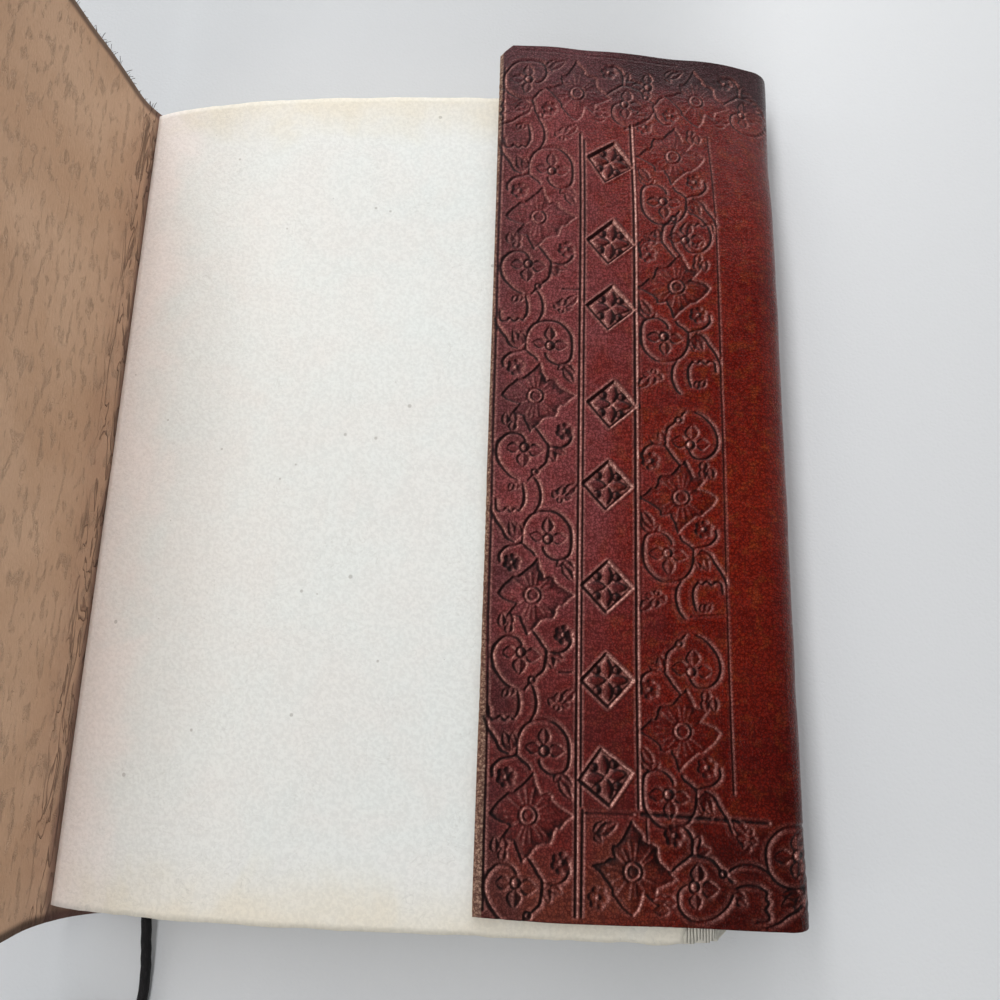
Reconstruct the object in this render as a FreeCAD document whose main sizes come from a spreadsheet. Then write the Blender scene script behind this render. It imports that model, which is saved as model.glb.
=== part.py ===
"""Leather journal: one wrap-round cover, a sewn block of rag paper and a tie cord.

The back cover lies on the table, the front cover stands open at the gutter and the tooled
flap, which wraps round the fore-edge, is folded onto the first page.
Origin: middle of the back cover's underside. +X to the fore-edge, +Y to the head, +Z up.
All lengths are in millimetres and all angles in degrees.
"""
import FreeCAD, Part
import math
import os
import Sketcher

VECTOR = FreeCAD.Vector

DRIVING_SIZES = {
    # cover
    "leather": 2.4,
    "cover_height": 262.6,
    "back_cover_width": 181.0,
    "front_cover_width": 181.0,
    "flap_width": 79.0,
    "cover_skew": 11.0,
    "spine_radius": 23.0,
    "lower_fold_radius": 8.0,
    "upper_fold_radius": 9.0,
    "hinge_gap": 0.6,
    "flap_clearance": 0.6,
    "closing_clearance": 0.6,
    "flap_corner_cut": 3.6,
    # pages
    "fore_edge_room": 5.6,
    "page_height": 254.0,
    "block_thickness": 21.6,
    "gathering_count": 8,
    "fore_edge_lean": 19.0,
    "crown_start": 80.0,
    "crown_radius": 269.0,
    "spine_clearance": 0.3,
    "heel_angle": 8.0,
    # sewing
    "thread": 1.0,
    "thread_clearance": 0.15,
    "thread_lift": 0.06,
    "stitch_length": 5.0,
    "station_count": 5,
    "station_pitch": 48.0,
    "fold_depth": 2.35,
    "lowest_row_angle": 18.0,
    "highest_row_angle": 56.5,
    # tie cord
    "cord": 3.0,
    "cord_clearance": 0.4,
    "cord_groove_length": 42.0,
    "cord_groove_place": -89.1,
    "coil_radius": 17.0,
    "coil_bundle_radius": 4.6,
    "knot_radius": 4.0,
    "knot_bite": 1.0,
    "cord_entry": 6.0,
    # tooling of the flap
    "tooling_depth": 0.5,
    "line_width": 0.8,
    "scroll_width": 0.9,
    "stamp_side": 10.8,
}

# Heights and places that several pieces share.
HALF_LEATHER = "Sizes.leather / 2"
SPINE_CENTRE_X = "-Sizes.back_cover_width / 2"
SPINE_CENTRE_Z = f"({HALF_LEATHER} + Sizes.spine_radius)"
PAGES_TOP = "(Sizes.leather + Sizes.block_thickness)"
FLAP_MIDDLE_Z = f"({PAGES_TOP} + Sizes.flap_clearance + {HALF_LEATHER})"
COVER_HINGE_Z = f"({FLAP_MIDDLE_Z} + Sizes.leather + Sizes.closing_clearance)"
PAPER_SPINE_RADIUS = f"(Sizes.spine_radius - {HALF_LEATHER} - Sizes.spine_clearance)"
SPINE_SIDE_Y = "(-Sizes.cover_skew / 2)"
FORE_EDGE_SIDE_Y = "(Sizes.cover_skew / 2)"
FOLD_MIDDLE = "cos(45)"
LOWER_FOLD_Z = f"({HALF_LEATHER} + Sizes.lower_fold_radius)"
HINGE_LAND = f"({HALF_LEATHER} + Sizes.hinge_gap)"

document = FreeCAD.newDocument("leather_journal")
sizes = document.addObject("Spreadsheet::Sheet", "Sizes")
for row, (alias, number) in enumerate(DRIVING_SIZES.items(), start=1):
    sizes.set(f"A{row}", alias)
    sizes.set(f"B{row}", str(number))
    sizes.setAlias(f"B{row}", alias)
document.recompute()


def value(expression):
    """The number that an expression gives with the sheet's present sizes."""
    return float(sizes.evalExpression(expression))


# ---------------------------------------------------------------- sketches and features
def new_body(label):
    body = document.addObject("PartDesign::Body", label)
    body.Label = label
    return body


def origin_feature(body, role):
    return next(item for item in body.Origin.OriginFeatures if item.Role == role)


def new_sketch(body, name, plane, offset="0"):
    """A sketch on one of the body's own planes, moved along that plane's normal."""
    sketch = body.newObject("Sketcher::SketchObject", name)
    sketch.AttachmentSupport = [(origin_feature(body, plane), "")]
    sketch.MapMode = "FlatFace"
    sketch.setExpression("AttachmentOffset.Base.z", offset)
    return sketch


def pin(sketch, geometry, point, place):
    """Holds one point of the sketch at an (x, y) pair of expressions."""
    for kind, expression in zip(("DistanceX", "DistanceY"), place):
        index = sketch.addConstraint(Sketcher.Constraint(kind, geometry, point, value(expression)))
        sketch.setExpression(f"Constraints[{index}]", expression)


def arc_between(start, end, centre):
    """The shorter arc about a centre, and whether it runs backwards from end to start."""
    first = math.atan2(start[1] - centre[1], start[0] - centre[0])
    last = math.atan2(end[1] - centre[1], end[0] - centre[0])
    backwards = (last - first) % (2 * math.pi) > math.pi
    if backwards:
        first, last = last, first
    radius = math.hypot(start[0] - centre[0], start[1] - centre[1])
    circle = Part.Circle(VECTOR(*centre, 0), VECTOR(0, 0, 1), radius)
    return Part.ArcOfCircle(circle, first, last), backwards


def draw(sketch, corners, arcs=None, closed=True, free=None):
    """Draws lines through the corners; arcs[i] gives the centre of the side after corner i.

    Corners and centres are pairs of expressions. A free corner is one where two arcs meet:
    its own numbers only start the solver, and the centres of its arcs are pinned instead.
    """
    arcs = arcs or {}
    free = free or []
    points = [tuple(value(item) for item in corner) for corner in corners]
    sides = range(len(points) if closed else len(points) - 1)
    ends = []
    for side in sides:
        start, end = points[side], points[(side + 1) % len(points)]
        if side in arcs:
            centre = tuple(value(item) for item in arcs[side])
            curve, backwards = arc_between(start, end, centre)
        else:
            curve, backwards = Part.LineSegment(VECTOR(*start, 0), VECTOR(*end, 0)), False
        geometry = sketch.addGeometry(curve, False)
        ends.append((geometry, 2, 1) if backwards else (geometry, 1, 2))
    for side in sides:
        following = (side + 1) % len(points)
        if closed or following < len(ends):
            joint = (ends[side][0], ends[side][2], ends[following][0], ends[following][1])
            sketch.addConstraint(Sketcher.Constraint("Coincident", *joint))
        if side not in free:
            pin(sketch, ends[side][0], ends[side][1], corners[side])
    if not closed:
        pin(sketch, ends[-1][0], ends[-1][2], corners[-1])
    for side, centre in arcs.items():
        after = (side + 1) % len(points)
        if side in free or after in free:
            pin(sketch, ends[side][0], 3, centre)
            continue
        start = points[side]
        radius = math.hypot(start[0] - value(centre[0]), start[1] - value(centre[1]))
        index = sketch.addConstraint(Sketcher.Constraint("Radius", ends[side][0], radius))
        (x, y), (from_x, from_y) = centre, corners[side]
        reach = f"sqrt(pow(({from_x}) - ({x}); 2) + pow(({from_y}) - ({y}); 2))"
        sketch.setExpression(f"Constraints[{index}]", reach)
    return sketch


def pad(body, sketch, length):
    feature = body.newObject("PartDesign::Pad", f"{sketch.Name}_pad")
    feature.Profile = sketch
    feature.setExpression("Length", length)
    sketch.Visibility = False
    return feature


def place(thing, x, y, z):
    for axis, expression in zip("xyz", (x, y, z)):
        thing.setExpression(f"Placement.Base.{axis}", expression)


def polar(centre, radius, angle):
    """Expressions of the point at a radius and angle (from +X) about a centre."""
    return (f"{centre[0]} + ({radius}) * cos({angle})", f"{centre[1]} + ({radius}) * sin({angle})")


# ---------------------------------------------------------------- cover leather
def back_cover_blank():
    """Back cover, the spine that curves up the folds and half of the lower fore-edge fold."""
    body = new_body("back_cover_blank")
    half_width = "Sizes.back_cover_width / 2"
    half_height = "Sizes.cover_height / 2"

    flat = draw(new_sketch(body, "back_flat", "XY_Plane"), [
        (f"-{half_width}", f"{SPINE_SIDE_Y} - {half_height}"),
        (half_width, f"{FORE_EDGE_SIDE_Y} - {half_height}"),
        (half_width, f"{FORE_EDGE_SIDE_Y} + {half_height}"),
        (f"-{half_width}", f"{SPINE_SIDE_Y} + {half_height}"),
    ])
    pad(body, flat, "Sizes.leather")

    outside = f"{SPINE_CENTRE_X} - Sizes.spine_radius - {HALF_LEATHER}"
    inside = f"{SPINE_CENTRE_X} - Sizes.spine_radius + {HALF_LEATHER}"
    top = f"{COVER_HINGE_Z} - {HINGE_LAND}"
    centre = (SPINE_CENTRE_X, SPINE_CENTRE_Z)
    spine_plane = f"-({SPINE_SIDE_Y} + {half_height})"
    spine = draw(new_sketch(body, "spine_curve", "XZ_Plane", spine_plane), [
        (SPINE_CENTRE_X, "0"),
        (outside, SPINE_CENTRE_Z),
        (outside, top),
        (inside, top),
        (inside, SPINE_CENTRE_Z),
        (SPINE_CENTRE_X, "Sizes.leather"),
    ], arcs={0: centre, 4: centre})
    pad(body, spine, "Sizes.cover_height")

    fold_centre = (half_width, LOWER_FOLD_Z)
    fold_end = f"(-45 - {HINGE_LAND} / Sizes.lower_fold_radius * 180 / pi)"
    fold_plane = f"-({FORE_EDGE_SIDE_Y} + {half_height})"
    fold = draw(new_sketch(body, "fold_curve", "XZ_Plane", fold_plane), [
        (half_width, "0"),
        polar(fold_centre, f"Sizes.lower_fold_radius + {HALF_LEATHER}", fold_end),
        polar(fold_centre, f"Sizes.lower_fold_radius - {HALF_LEATHER}", fold_end),
        (half_width, "Sizes.leather"),
    ], arcs={0: fold_centre, 2: fold_centre})
    pad(body, fold, "Sizes.cover_height")
    return body


def front_cover():
    """Flat panel that stands on the spine's upper edge; its lower edge is its hinge line."""
    body = new_body("front_cover")
    plane = "-Sizes.cover_height / 2"
    panel = draw(new_sketch(body, "front_panel", "XZ_Plane", plane), [
        (f"-{HALF_LEATHER}", "0"),
        ("0", f"-{HALF_LEATHER}"),
        (HALF_LEATHER, "0"),
        (HALF_LEATHER, "Sizes.front_cover_width"),
        (f"-{HALF_LEATHER}", "Sizes.front_cover_width"),
    ], arcs={0: ("0", "0"), 1: ("0", "0")})
    pad(body, panel, "Sizes.cover_height")
    place(body, f"{SPINE_CENTRE_X} - Sizes.spine_radius", SPINE_SIDE_Y, COVER_HINGE_Z)
    return body


def fore_edge_wrap():
    """Upright strip round the fore-edge with the other half of each fold."""
    body = new_body("fore_edge_wrap")
    low = "Sizes.lower_fold_radius"
    high = "Sizes.upper_fold_radius"
    low_centre = (f"-{low} * {FOLD_MIDDLE}", f"{low} * {FOLD_MIDDLE}")
    wall_height = f"({FLAP_MIDDLE_Z} - {high} - {LOWER_FOLD_Z})"
    high_centre = (f"{low_centre[0]} + {low} - {high}", f"{low_centre[1]} + {wall_height}")
    fold_end = f"(45 - {HINGE_LAND} / {high} * 180 / pi)"
    plane = "-Sizes.cover_height / 2"
    strip = draw(new_sketch(body, "wrap_strip", "XZ_Plane", plane), [
        polar(low_centre, f"{low} - {HALF_LEATHER}", "-45"),
        polar(("0", "0"), HALF_LEATHER, "-135"),
        polar(low_centre, f"{low} + {HALF_LEATHER}", "-45"),
        polar(low_centre, f"{low} + {HALF_LEATHER}", "0"),
        polar(high_centre, f"{high} + {HALF_LEATHER}", "0"),
        polar(high_centre, f"{high} + {HALF_LEATHER}", fold_end),
        polar(high_centre, f"{high} - {HALF_LEATHER}", fold_end),
        polar(high_centre, f"{high} - {HALF_LEATHER}", "0"),
        polar(low_centre, f"{low} - {HALF_LEATHER}", "0"),
    ], arcs={0: ("0", "0"), 1: ("0", "0"), 2: low_centre, 4: high_centre, 6: high_centre,
             8: low_centre})
    pad(body, strip, "Sizes.cover_height")
    place(body, f"Sizes.back_cover_width / 2 + {low} * {FOLD_MIDDLE}", FORE_EDGE_SIDE_Y,
          f"{LOWER_FOLD_Z} - {low} * {FOLD_MIDDLE}")
    return body


FLAP_ROOT_X = f"(-Sizes.upper_fold_radius * {FOLD_MIDDLE})"
FLAP_TOP = f"(Sizes.upper_fold_radius * (1 - {FOLD_MIDDLE}) + {HALF_LEATHER})"


def place_flap(thing):
    """The flap's own origin is its hinge line, in the middle of the upper fold."""
    high = "Sizes.upper_fold_radius"
    place(thing, f"Sizes.back_cover_width / 2 + Sizes.lower_fold_radius - {high} * (1 - {FOLD_MIDDLE})",
          FORE_EDGE_SIDE_Y, f"{FLAP_MIDDLE_Z} - {high} * (1 - {FOLD_MIDDLE})")


def flap_blank():
    """Folded-over flap before tooling: a flat panel and the last half of the upper fold."""
    body = new_body("flap_blank")
    high = "Sizes.upper_fold_radius"
    half_height = "Sizes.cover_height / 2"
    free_edge = f"{FLAP_ROOT_X} - Sizes.flap_width"
    underside = f"{FLAP_TOP} - Sizes.leather"
    panel = draw(new_sketch(body, "flap_panel", "XY_Plane", underside), [
        (free_edge, f"-{half_height}"),
        (FLAP_ROOT_X, f"-{half_height}"),
        (FLAP_ROOT_X, half_height),
        (f"{free_edge} + Sizes.flap_corner_cut", half_height),
        (free_edge, f"{half_height} - Sizes.flap_corner_cut"),
    ])
    pad(body, panel, "Sizes.leather")

    centre = (FLAP_ROOT_X, FLAP_ROOT_X)
    root = draw(new_sketch(body, "flap_root", "XZ_Plane", f"-{half_height}"), [
        polar(centre, f"{high} + {HALF_LEATHER}", "45"),
        polar(("0", "0"), HALF_LEATHER, "-45"),
        polar(centre, f"{high} - {HALF_LEATHER}", "45"),
        (FLAP_ROOT_X, underside),
        (FLAP_ROOT_X, FLAP_TOP),
    ], arcs={0: ("0", "0"), 1: ("0", "0"), 2: centre, 4: centre})
    pad(body, root, "Sizes.cover_height")
    place_flap(body)
    return body


# ---------------------------------------------------------------- tooling of the flap
# Places on the flap are (across, along): across from the free edge towards the fold, along
# from the middle of the flap towards its head.
STAMPS = [(36.0, 90.3, -13), (35.8, 62.3, -6), (35.7, 40.2, -5), (36.1, 9.1, -5),
          (34.8, -15.7, -3), (34.7, -45.2, -2), (34.8, -71.1, 2), (34.2, -96.4, 9)]
# A scroll repeat is a star flower with one trefoil ring ahead of it and one behind:
# (across, along, direction of "ahead" in degrees)
SCROLLS = [(13.5, 70.9, 90), (13.5, 11.8, 90), (13.5, -47.3, 90),
           (13.5, -106.4, 90), (56.0, 47.3, -90), (56.0, -18.7, -90),
           (55.2, -83.7, -90)]
# (across, along, ring radius) of the rings and flowers that stand alone
LONE_RINGS = [(8.2, 118.3, 7.0), (48.9, 115.3, 7.2), (52.2, 75.5, 6.8), (58.2, -121.6, 7.2)]
LONE_FLOWERS = [(25.7, 114.9), (66.3, 114.6), (56.7, 93.1), (41.5, -118.7)]
# (across, along) ends of the straight creased lines
LINES = [((1.8, -129.5), (1.4, 126.0)), ((26.6, -129.5), (27.0, 100.0)),
         ((28.0, -104.0), (28.3, 100.0)), ((42.4, -104.0), (42.6, 106.0)),
         ((44.2, -116.0), (44.0, 106.0)), ((68.9, -99.0), (69.2, 102.0)),
         ((29.5, -105.3), (41.0, -105.3)), ((45.6, -105.6), (76.0, -106.0))]
# Places in one scroll repeat, (aside, ahead) of its flower
RING_AHEAD = (4.1, 17.6)
RING_BEHIND = (-3.3, -16.9)
LEAVES = (9.6, 5.6)
# Sizes of the marks; those of a bud are shares of its ring
RING_RADIUS = 7.2
FLOWER_RADIUS = 8.6
FLOWER_PETALS = 6
FLOWER_TURN = 12
PETAL_WIDTH = 2.9
BOSS_RADIUS = 2.0
BOSS_LINE = 0.8
BOSS_MARGIN = 1.1
BUD_NEAR = 0.12
BUD_FAR = 0.62
BUD_WIDTH = 0.36
LEAF_SPREAD = 28
LEAF_NEAR, LEAF_FAR, LEAF_WIDTH = 0.6, 4.6, 1.7
PETAL_SHOULDER = 0.3
RING_FACETS, BOSS_FACETS, DOT_FACETS = 20, 10, 6
# Sizes in a stamp, as shares of its side
STAMP_FRAME = 0.065
STAMP_PETAL_NEAR, STAMP_PETAL_FAR, STAMP_PETAL_WIDTH = 0.075, 0.56, 0.24
STAMP_DOT_PLACE, STAMP_DOT_RADIUS = 0.36, 0.07


def prism(outline):
    """Cutter that reaches from the bottom of the tooling to just above the leather."""
    depth = value("Sizes.tooling_depth")
    bottom = value(FLAP_TOP) - depth
    solid = Part.Face(outline).extrude(VECTOR(0, 0, 2 * depth))
    solid.translate(VECTOR(0, 0, bottom))
    return solid


def turned(points, x, y, angle):
    """Points turned by an angle about the origin and moved to (x, y)."""
    cosine, sine = math.cos(math.radians(angle)), math.sin(math.radians(angle))
    return [VECTOR(x + a * cosine - b * sine, y + a * sine + b * cosine, 0) for a, b in points]


def closed_wire(points):
    return Part.makePolygon(points + points[:1])


def line_cut(start, end):
    """Straight creased line between two points."""
    length = math.dist(start, end)
    angle = math.degrees(math.atan2(end[1] - start[1], end[0] - start[0]))
    half = value("Sizes.line_width") / 2
    corners = turned([(0, -half), (length, -half), (length, half), (0, half)], *start, angle)
    return prism(closed_wire(corners))


def round_facets(x, y, radius, facets):
    """Corners of an even polygon, the shape that a small facetted punch leaves."""
    step = 2 * math.pi / facets
    return [VECTOR(x + radius * math.cos(step * corner), y + radius * math.sin(step * corner), 0)
            for corner in range(facets)]


def petal_cut(x, y, angle, near, far, width):
    """Pointed petal whose axis runs from the near to the far radius about (x, y)."""
    length, half = far - near, width / 2
    shoulders = [near + PETAL_SHOULDER * length, far - PETAL_SHOULDER * length]
    corners = [(near, 0), (shoulders[0], half), (shoulders[1], half), (far, 0),
               (shoulders[1], -half), (shoulders[0], -half)]
    return prism(closed_wire(turned(corners, x, y, angle)))


def ring_cut(x, y, radius, width, facets):
    """Round groove about a raised disc."""
    outer = prism(closed_wire(round_facets(x, y, radius + width / 2, facets)))
    return outer.cut(prism(closed_wire(round_facets(x, y, radius - width / 2, facets))))


def trefoil_ring(x, y, radius, angle):
    """Ring with three buds in it, the middle one along the angle."""
    groove = value("Sizes.scroll_width")
    near, far, width = BUD_NEAR * radius, BUD_FAR * radius, BUD_WIDTH * radius
    buds = [petal_cut(x, y, angle + turn, near, far, width) for turn in (-90, 0, 90)]
    return [ring_cut(x, y, radius, groove, RING_FACETS)] + buds


def star_flower(x, y, angle):
    """Round boss with pointed petals."""
    near = BOSS_RADIUS + BOSS_MARGIN
    step = 360 / FLOWER_PETALS
    petals = [petal_cut(x, y, angle + step * petal, near, FLOWER_RADIUS, PETAL_WIDTH)
              for petal in range(FLOWER_PETALS)]
    return [ring_cut(x, y, BOSS_RADIUS, BOSS_LINE, BOSS_FACETS)] + petals


def scroll_repeat(x, y, ahead):
    """Star flower with a trefoil ring ahead and one behind, joined by short leaves."""
    cuts = star_flower(x, y, ahead + FLOWER_TURN)
    for (aside, along), bud in ((RING_AHEAD, 0), (RING_BEHIND, 180)):
        centre = turned([(along, -aside)], x, y, ahead)[0]
        cuts += trefoil_ring(centre.x, centre.y, RING_RADIUS, ahead + bud)
    aside, along = LEAVES
    leaf = turned([(along, -aside)], x, y, ahead)[0]
    for spread in (-LEAF_SPREAD, LEAF_SPREAD):
        angle = ahead + 180 + spread
        cuts.append(petal_cut(leaf.x, leaf.y, angle, LEAF_NEAR, LEAF_FAR, LEAF_WIDTH))
    return cuts


def diamond_stamp(x, y, turn):
    """Diamond outline with four petals and four dots."""
    side = value("Sizes.stamp_side")
    frame = []
    for half in (side / 2, side / 2 - STAMP_FRAME * side):
        corners = turned([(half, half), (-half, half), (-half, -half), (half, -half)],
                         x, y, 45 + turn)
        frame.append(prism(closed_wire(corners)))
    cuts = [frame[0].cut(frame[1])]
    for quarter in range(4):
        angle = turn + 90 * quarter
        cuts.append(petal_cut(x, y, angle, STAMP_PETAL_NEAR * side, STAMP_PETAL_FAR * side,
                              STAMP_PETAL_WIDTH * side))
        dot = turned([(STAMP_DOT_PLACE * side, 0)], x, y, 45 + angle)[0]
        cuts.append(prism(closed_wire(round_facets(dot.x, dot.y, STAMP_DOT_RADIUS * side, DOT_FACETS))))
    return cuts


def flap_tooling():
    """Every tooled mark as one shape of cutters, in the flap's own coordinates."""
    cuts = [line_cut(start, end) for start, end in LINES]
    for stamp in STAMPS:
        cuts += diamond_stamp(*stamp)
    for scroll in SCROLLS:
        cuts += scroll_repeat(*scroll)
    for x, y, radius in LONE_RINGS:
        cuts += trefoil_ring(x, y, radius, 90)
    for x, y in LONE_FLOWERS:
        cuts += star_flower(x, y, 90 - FLOWER_TURN)
    tooling = document.addObject("Part::Feature", "flap_tooling")
    free_edge = value(FLAP_ROOT_X) - value("Sizes.flap_width")
    for cut in cuts:
        cut.translate(VECTOR(free_edge, 0, 0))
    tooling.Shape = cuts[0].multiFuse(cuts[1:])
    place_flap(tooling)
    return tooling


def cut_from(label, base, tool):
    result = document.addObject("Part::Cut", label)
    result.Label = label
    result.Base = base
    result.Tool = tool
    return result


# ---------------------------------------------------------------- pages
def page_block():
    """All the leaves as one solid: gatherings step out at the fore-edge, the crown falls to
    the gutter and a groove under the last leaf holds the tie cord."""
    body = new_body("page_block")
    spine_line = f"({SPINE_CENTRE_X} - Sizes.spine_radius)"
    top_edge = "(Sizes.back_cover_width / 2 - Sizes.fore_edge_room - Sizes.fore_edge_lean)"
    centre = (SPINE_CENTRE_X, SPINE_CENTRE_Z)
    crown_x = f"{spine_line} + Sizes.crown_start"
    crown_centre = (crown_x, f"{PAGES_TOP} - Sizes.crown_radius")
    count = int(value("Sizes.gathering_count"))
    thickness = "Sizes.block_thickness / Sizes.gathering_count"

    corners = [(SPINE_CENTRE_X, "Sizes.leather")]
    for layer in range(count):
        edge = f"{top_edge} + Sizes.fore_edge_lean * (1 - {layer} / (Sizes.gathering_count - 1))"
        corners.append((edge, f"Sizes.leather + {layer} * {thickness}"))
        corners.append((edge, f"Sizes.leather + {layer + 1} * {thickness}"))
    corners.append((crown_x, PAGES_TOP))
    gutter = polar(centre, PAPER_SPINE_RADIUS, "-150")
    corners.append(gutter)
    corners.append(polar(centre, PAPER_SPINE_RADIUS, "(-90 - Sizes.heel_angle)"))
    crown_corner = len(corners) - 3
    gutter_corner = len(corners) - 2
    plane = f"-({SPINE_SIDE_Y} + Sizes.page_height / 2)"
    section = draw(new_sketch(body, "page_section", "XZ_Plane", plane), corners,
                   arcs={crown_corner: crown_centre, gutter_corner: centre}, free=[gutter_corner])
    pad(body, section, "Sizes.page_height")

    tail_plane = f"-({SPINE_SIDE_Y} - Sizes.page_height / 2)"
    groove = new_sketch(body, "cord_groove", "XZ_Plane", tail_plane)
    groove_height = "Sizes.leather + Sizes.cord / 2"
    middle = VECTOR(value("Sizes.cord_groove_place"), value(groove_height), 0)
    radius = value("Sizes.cord / 2 + Sizes.cord_clearance")
    ring = groove.addGeometry(Part.Circle(middle, VECTOR(0, 0, 1), radius), False)
    pin(groove, ring, 3, ("Sizes.cord_groove_place", groove_height))
    index = groove.addConstraint(Sketcher.Constraint("Radius", ring, radius))
    groove.setExpression(f"Constraints[{index}]", "Sizes.cord / 2 + Sizes.cord_clearance")
    document.recompute()
    whole = body.Shape.Volume
    pocket = body.newObject("PartDesign::Pocket", "cord_groove_pocket")
    pocket.Profile = groove
    pocket.setExpression("Length", "Sizes.cord_groove_length")
    groove.Visibility = False
    document.recompute()
    if body.Shape.Volume >= whole:
        raise RuntimeError("the cord groove cuts nothing")
    return body


# ---------------------------------------------------------------- sewing
def row_angle(row):
    """Angle of a sewing row below the spine's centre, turned from straight down."""
    rise = "(Sizes.highest_row_angle - Sizes.lowest_row_angle)"
    return f"Sizes.highest_row_angle - {row} * {rise} / (Sizes.gathering_count - 1)"


def sewing_thread(row):
    """Long stitch of one gathering: short stitches in its fold, long ones along the spine."""
    number = row + 1
    body = new_body(f"sewing_thread_{number}")
    outside = f"(-(Sizes.spine_radius + {HALF_LEATHER} + Sizes.thread / 2 + Sizes.thread_lift))"
    inside = f"(-({PAPER_SPINE_RADIUS} - Sizes.fold_depth))"
    first = "(-Sizes.station_pitch * (Sizes.station_count - 1) / 2)"
    hole = "Sizes.stitch_length / 2"
    half_pitch = "Sizes.station_pitch / 2"

    path = draw(new_sketch(body, f"stitch_path_{number}", "YZ_Plane"), [
        (f"{first} - {half_pitch}", outside),
        (f"{first} - {hole}", outside),
        (f"{first} - {hole}", inside),
        (f"{first} + {hole}", inside),
        (f"{first} + {hole}", outside),
        (f"{first} + {half_pitch}", outside),
    ], closed=False)

    section = new_sketch(body, f"thread_section_{number}", "XZ_Plane", f"-({first} - {half_pitch})")
    middle = VECTOR(0, value(outside), 0)
    circle = section.addGeometry(Part.Circle(middle, VECTOR(0, 0, 1), value("Sizes.thread / 2")))
    pin(section, circle, 3, ("0", outside))
    index = section.addConstraint(Sketcher.Constraint("Radius", circle, value("Sizes.thread / 2")))
    section.setExpression(f"Constraints[{index}]", "Sizes.thread / 2")

    stitch = body.newObject("PartDesign::AdditivePipe", f"stitch_{number}")
    stitch.Profile = section
    stitch.Spine = (path, [])
    stitch.Transition = "Right corner"
    document.recompute()
    repeat = body.newObject("PartDesign::LinearPattern", f"stations_{number}")
    repeat.Originals = [stitch]
    repeat.Direction = (origin_feature(body, "Y_Axis"), [""])
    repeat.setExpression("Length", "Sizes.station_pitch * (Sizes.station_count - 1)")
    repeat.setExpression("Occurrences", "Sizes.station_count")
    body.Tip = repeat
    body.Placement.Rotation = FreeCAD.Rotation(VECTOR(0, 1, 0), value(row_angle(row)))
    body.setExpression("Placement.Rotation.Angle", row_angle(row))
    place(body, SPINE_CENTRE_X, SPINE_SIDE_Y, SPINE_CENTRE_Z)
    return body


AWL_FACETS = 6
AWL_OVERRUN = 1.0


def sewing_holes():
    """Awl holes through the spine leather, one pair for each stitch."""
    radius = value("Sizes.thread / 2 + Sizes.thread_clearance")
    outer = value(f"Sizes.spine_radius + {HALF_LEATHER}") + AWL_OVERRUN
    length = value("Sizes.leather") + 2 * AWL_OVERRUN
    centre = VECTOR(value(SPINE_CENTRE_X), value(SPINE_SIDE_Y), value(SPINE_CENTRE_Z))
    pitch = value("Sizes.station_pitch")
    stations = int(value("Sizes.station_count"))
    drills = []
    for row in range(int(value("Sizes.gathering_count"))):
        angle = math.radians(value(row_angle(row)))
        outward = VECTOR(-math.sin(angle), 0, -math.cos(angle))
        across = FreeCAD.Rotation(VECTOR(0, 0, 1), outward)
        start = centre + outward * (outer - length)
        for station in range(stations):
            middle = pitch * (station - (stations - 1) / 2)
            for side in (-1, 1):
                along = VECTOR(0, middle + side * value("Sizes.stitch_length") / 2, 0)
                hole = Part.Face(closed_wire(round_facets(0, 0, radius, AWL_FACETS)))
                hole = hole.extrude(VECTOR(0, 0, length))
                hole.Placement = FreeCAD.Placement(start + along, across)
                drills.append(hole)
    holes = document.addObject("Part::Feature", "sewing_holes")
    holes.Shape = Part.makeCompound(drills)
    return holes


# ---------------------------------------------------------------- tie cord
# From its caught end under the last leaf, out over the tail edge and down to the table.
CORD_ROUTE = [(-89.2, -97.0, 4.0), (-89.0, -118.0, 4.0), (-89.2, -140.0, 4.0),
              (-88.4, -154.0, 1.6), (-86.8, -167.0, 1.6), (-87.0, -181.0, 1.6)]
# The cord runs along the coil's right side, and ends a little before the coil's middle.
COIL_X = f"({CORD_ROUTE[-1][0]} - Sizes.coil_radius)"
COIL_Y = f"({CORD_ROUTE[-1][1]} - Sizes.cord_entry)"


def cord_wire(route):
    """Straight runs joined by arcs, each as large as its two runs allow."""
    points = [VECTOR(*point) for point in route]
    edges = []
    start = points[0]
    for before, corner, after in zip(points, points[1:], points[2:]):
        arriving, leaving = corner - before, after - corner
        turn = arriving.getAngle(leaving)
        trim = 0.45 * min(arriving.Length, leaving.Length)
        radius = trim / math.tan(turn / 2)
        print(f"cord bend of {math.degrees(turn):.1f} degrees, radius {radius:.1f} mm")
        enter = corner - arriving.normalize() * trim
        leave = corner + leaving.normalize() * trim
        inward = (enter + leave) * 0.5 - corner
        middle = corner + inward.normalize() * (radius / math.cos(turn / 2) - radius)
        edges.append(Part.LineSegment(start, enter).toShape())
        edges.append(Part.Arc(enter, middle, leave).toShape())
        start = leave
    edges.append(Part.LineSegment(start, points[-1]).toShape())
    return Part.Wire(edges)


def tie_cord():
    """Round cord along its route; the rest of its length is in the coil."""
    wire = cord_wire(CORD_ROUTE)
    radius = value("Sizes.cord / 2")
    circle = Part.Circle(VECTOR(*CORD_ROUTE[0]), wire.Edges[0].tangentAt(0), radius)
    tube = wire.makePipeShell([Part.Wire(circle.toShape())], True, False)
    expected = math.pi * radius ** 2 * wire.Length
    if abs(tube.Volume / expected - 1) > 0.01:
        raise RuntimeError("the cord's volume is not its section times its length")
    print(f"cord tube length {wire.Length:.1f} mm")
    cord = document.addObject("Part::Feature", "tie_cord")
    cord.Shape = tube
    return cord


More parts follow.
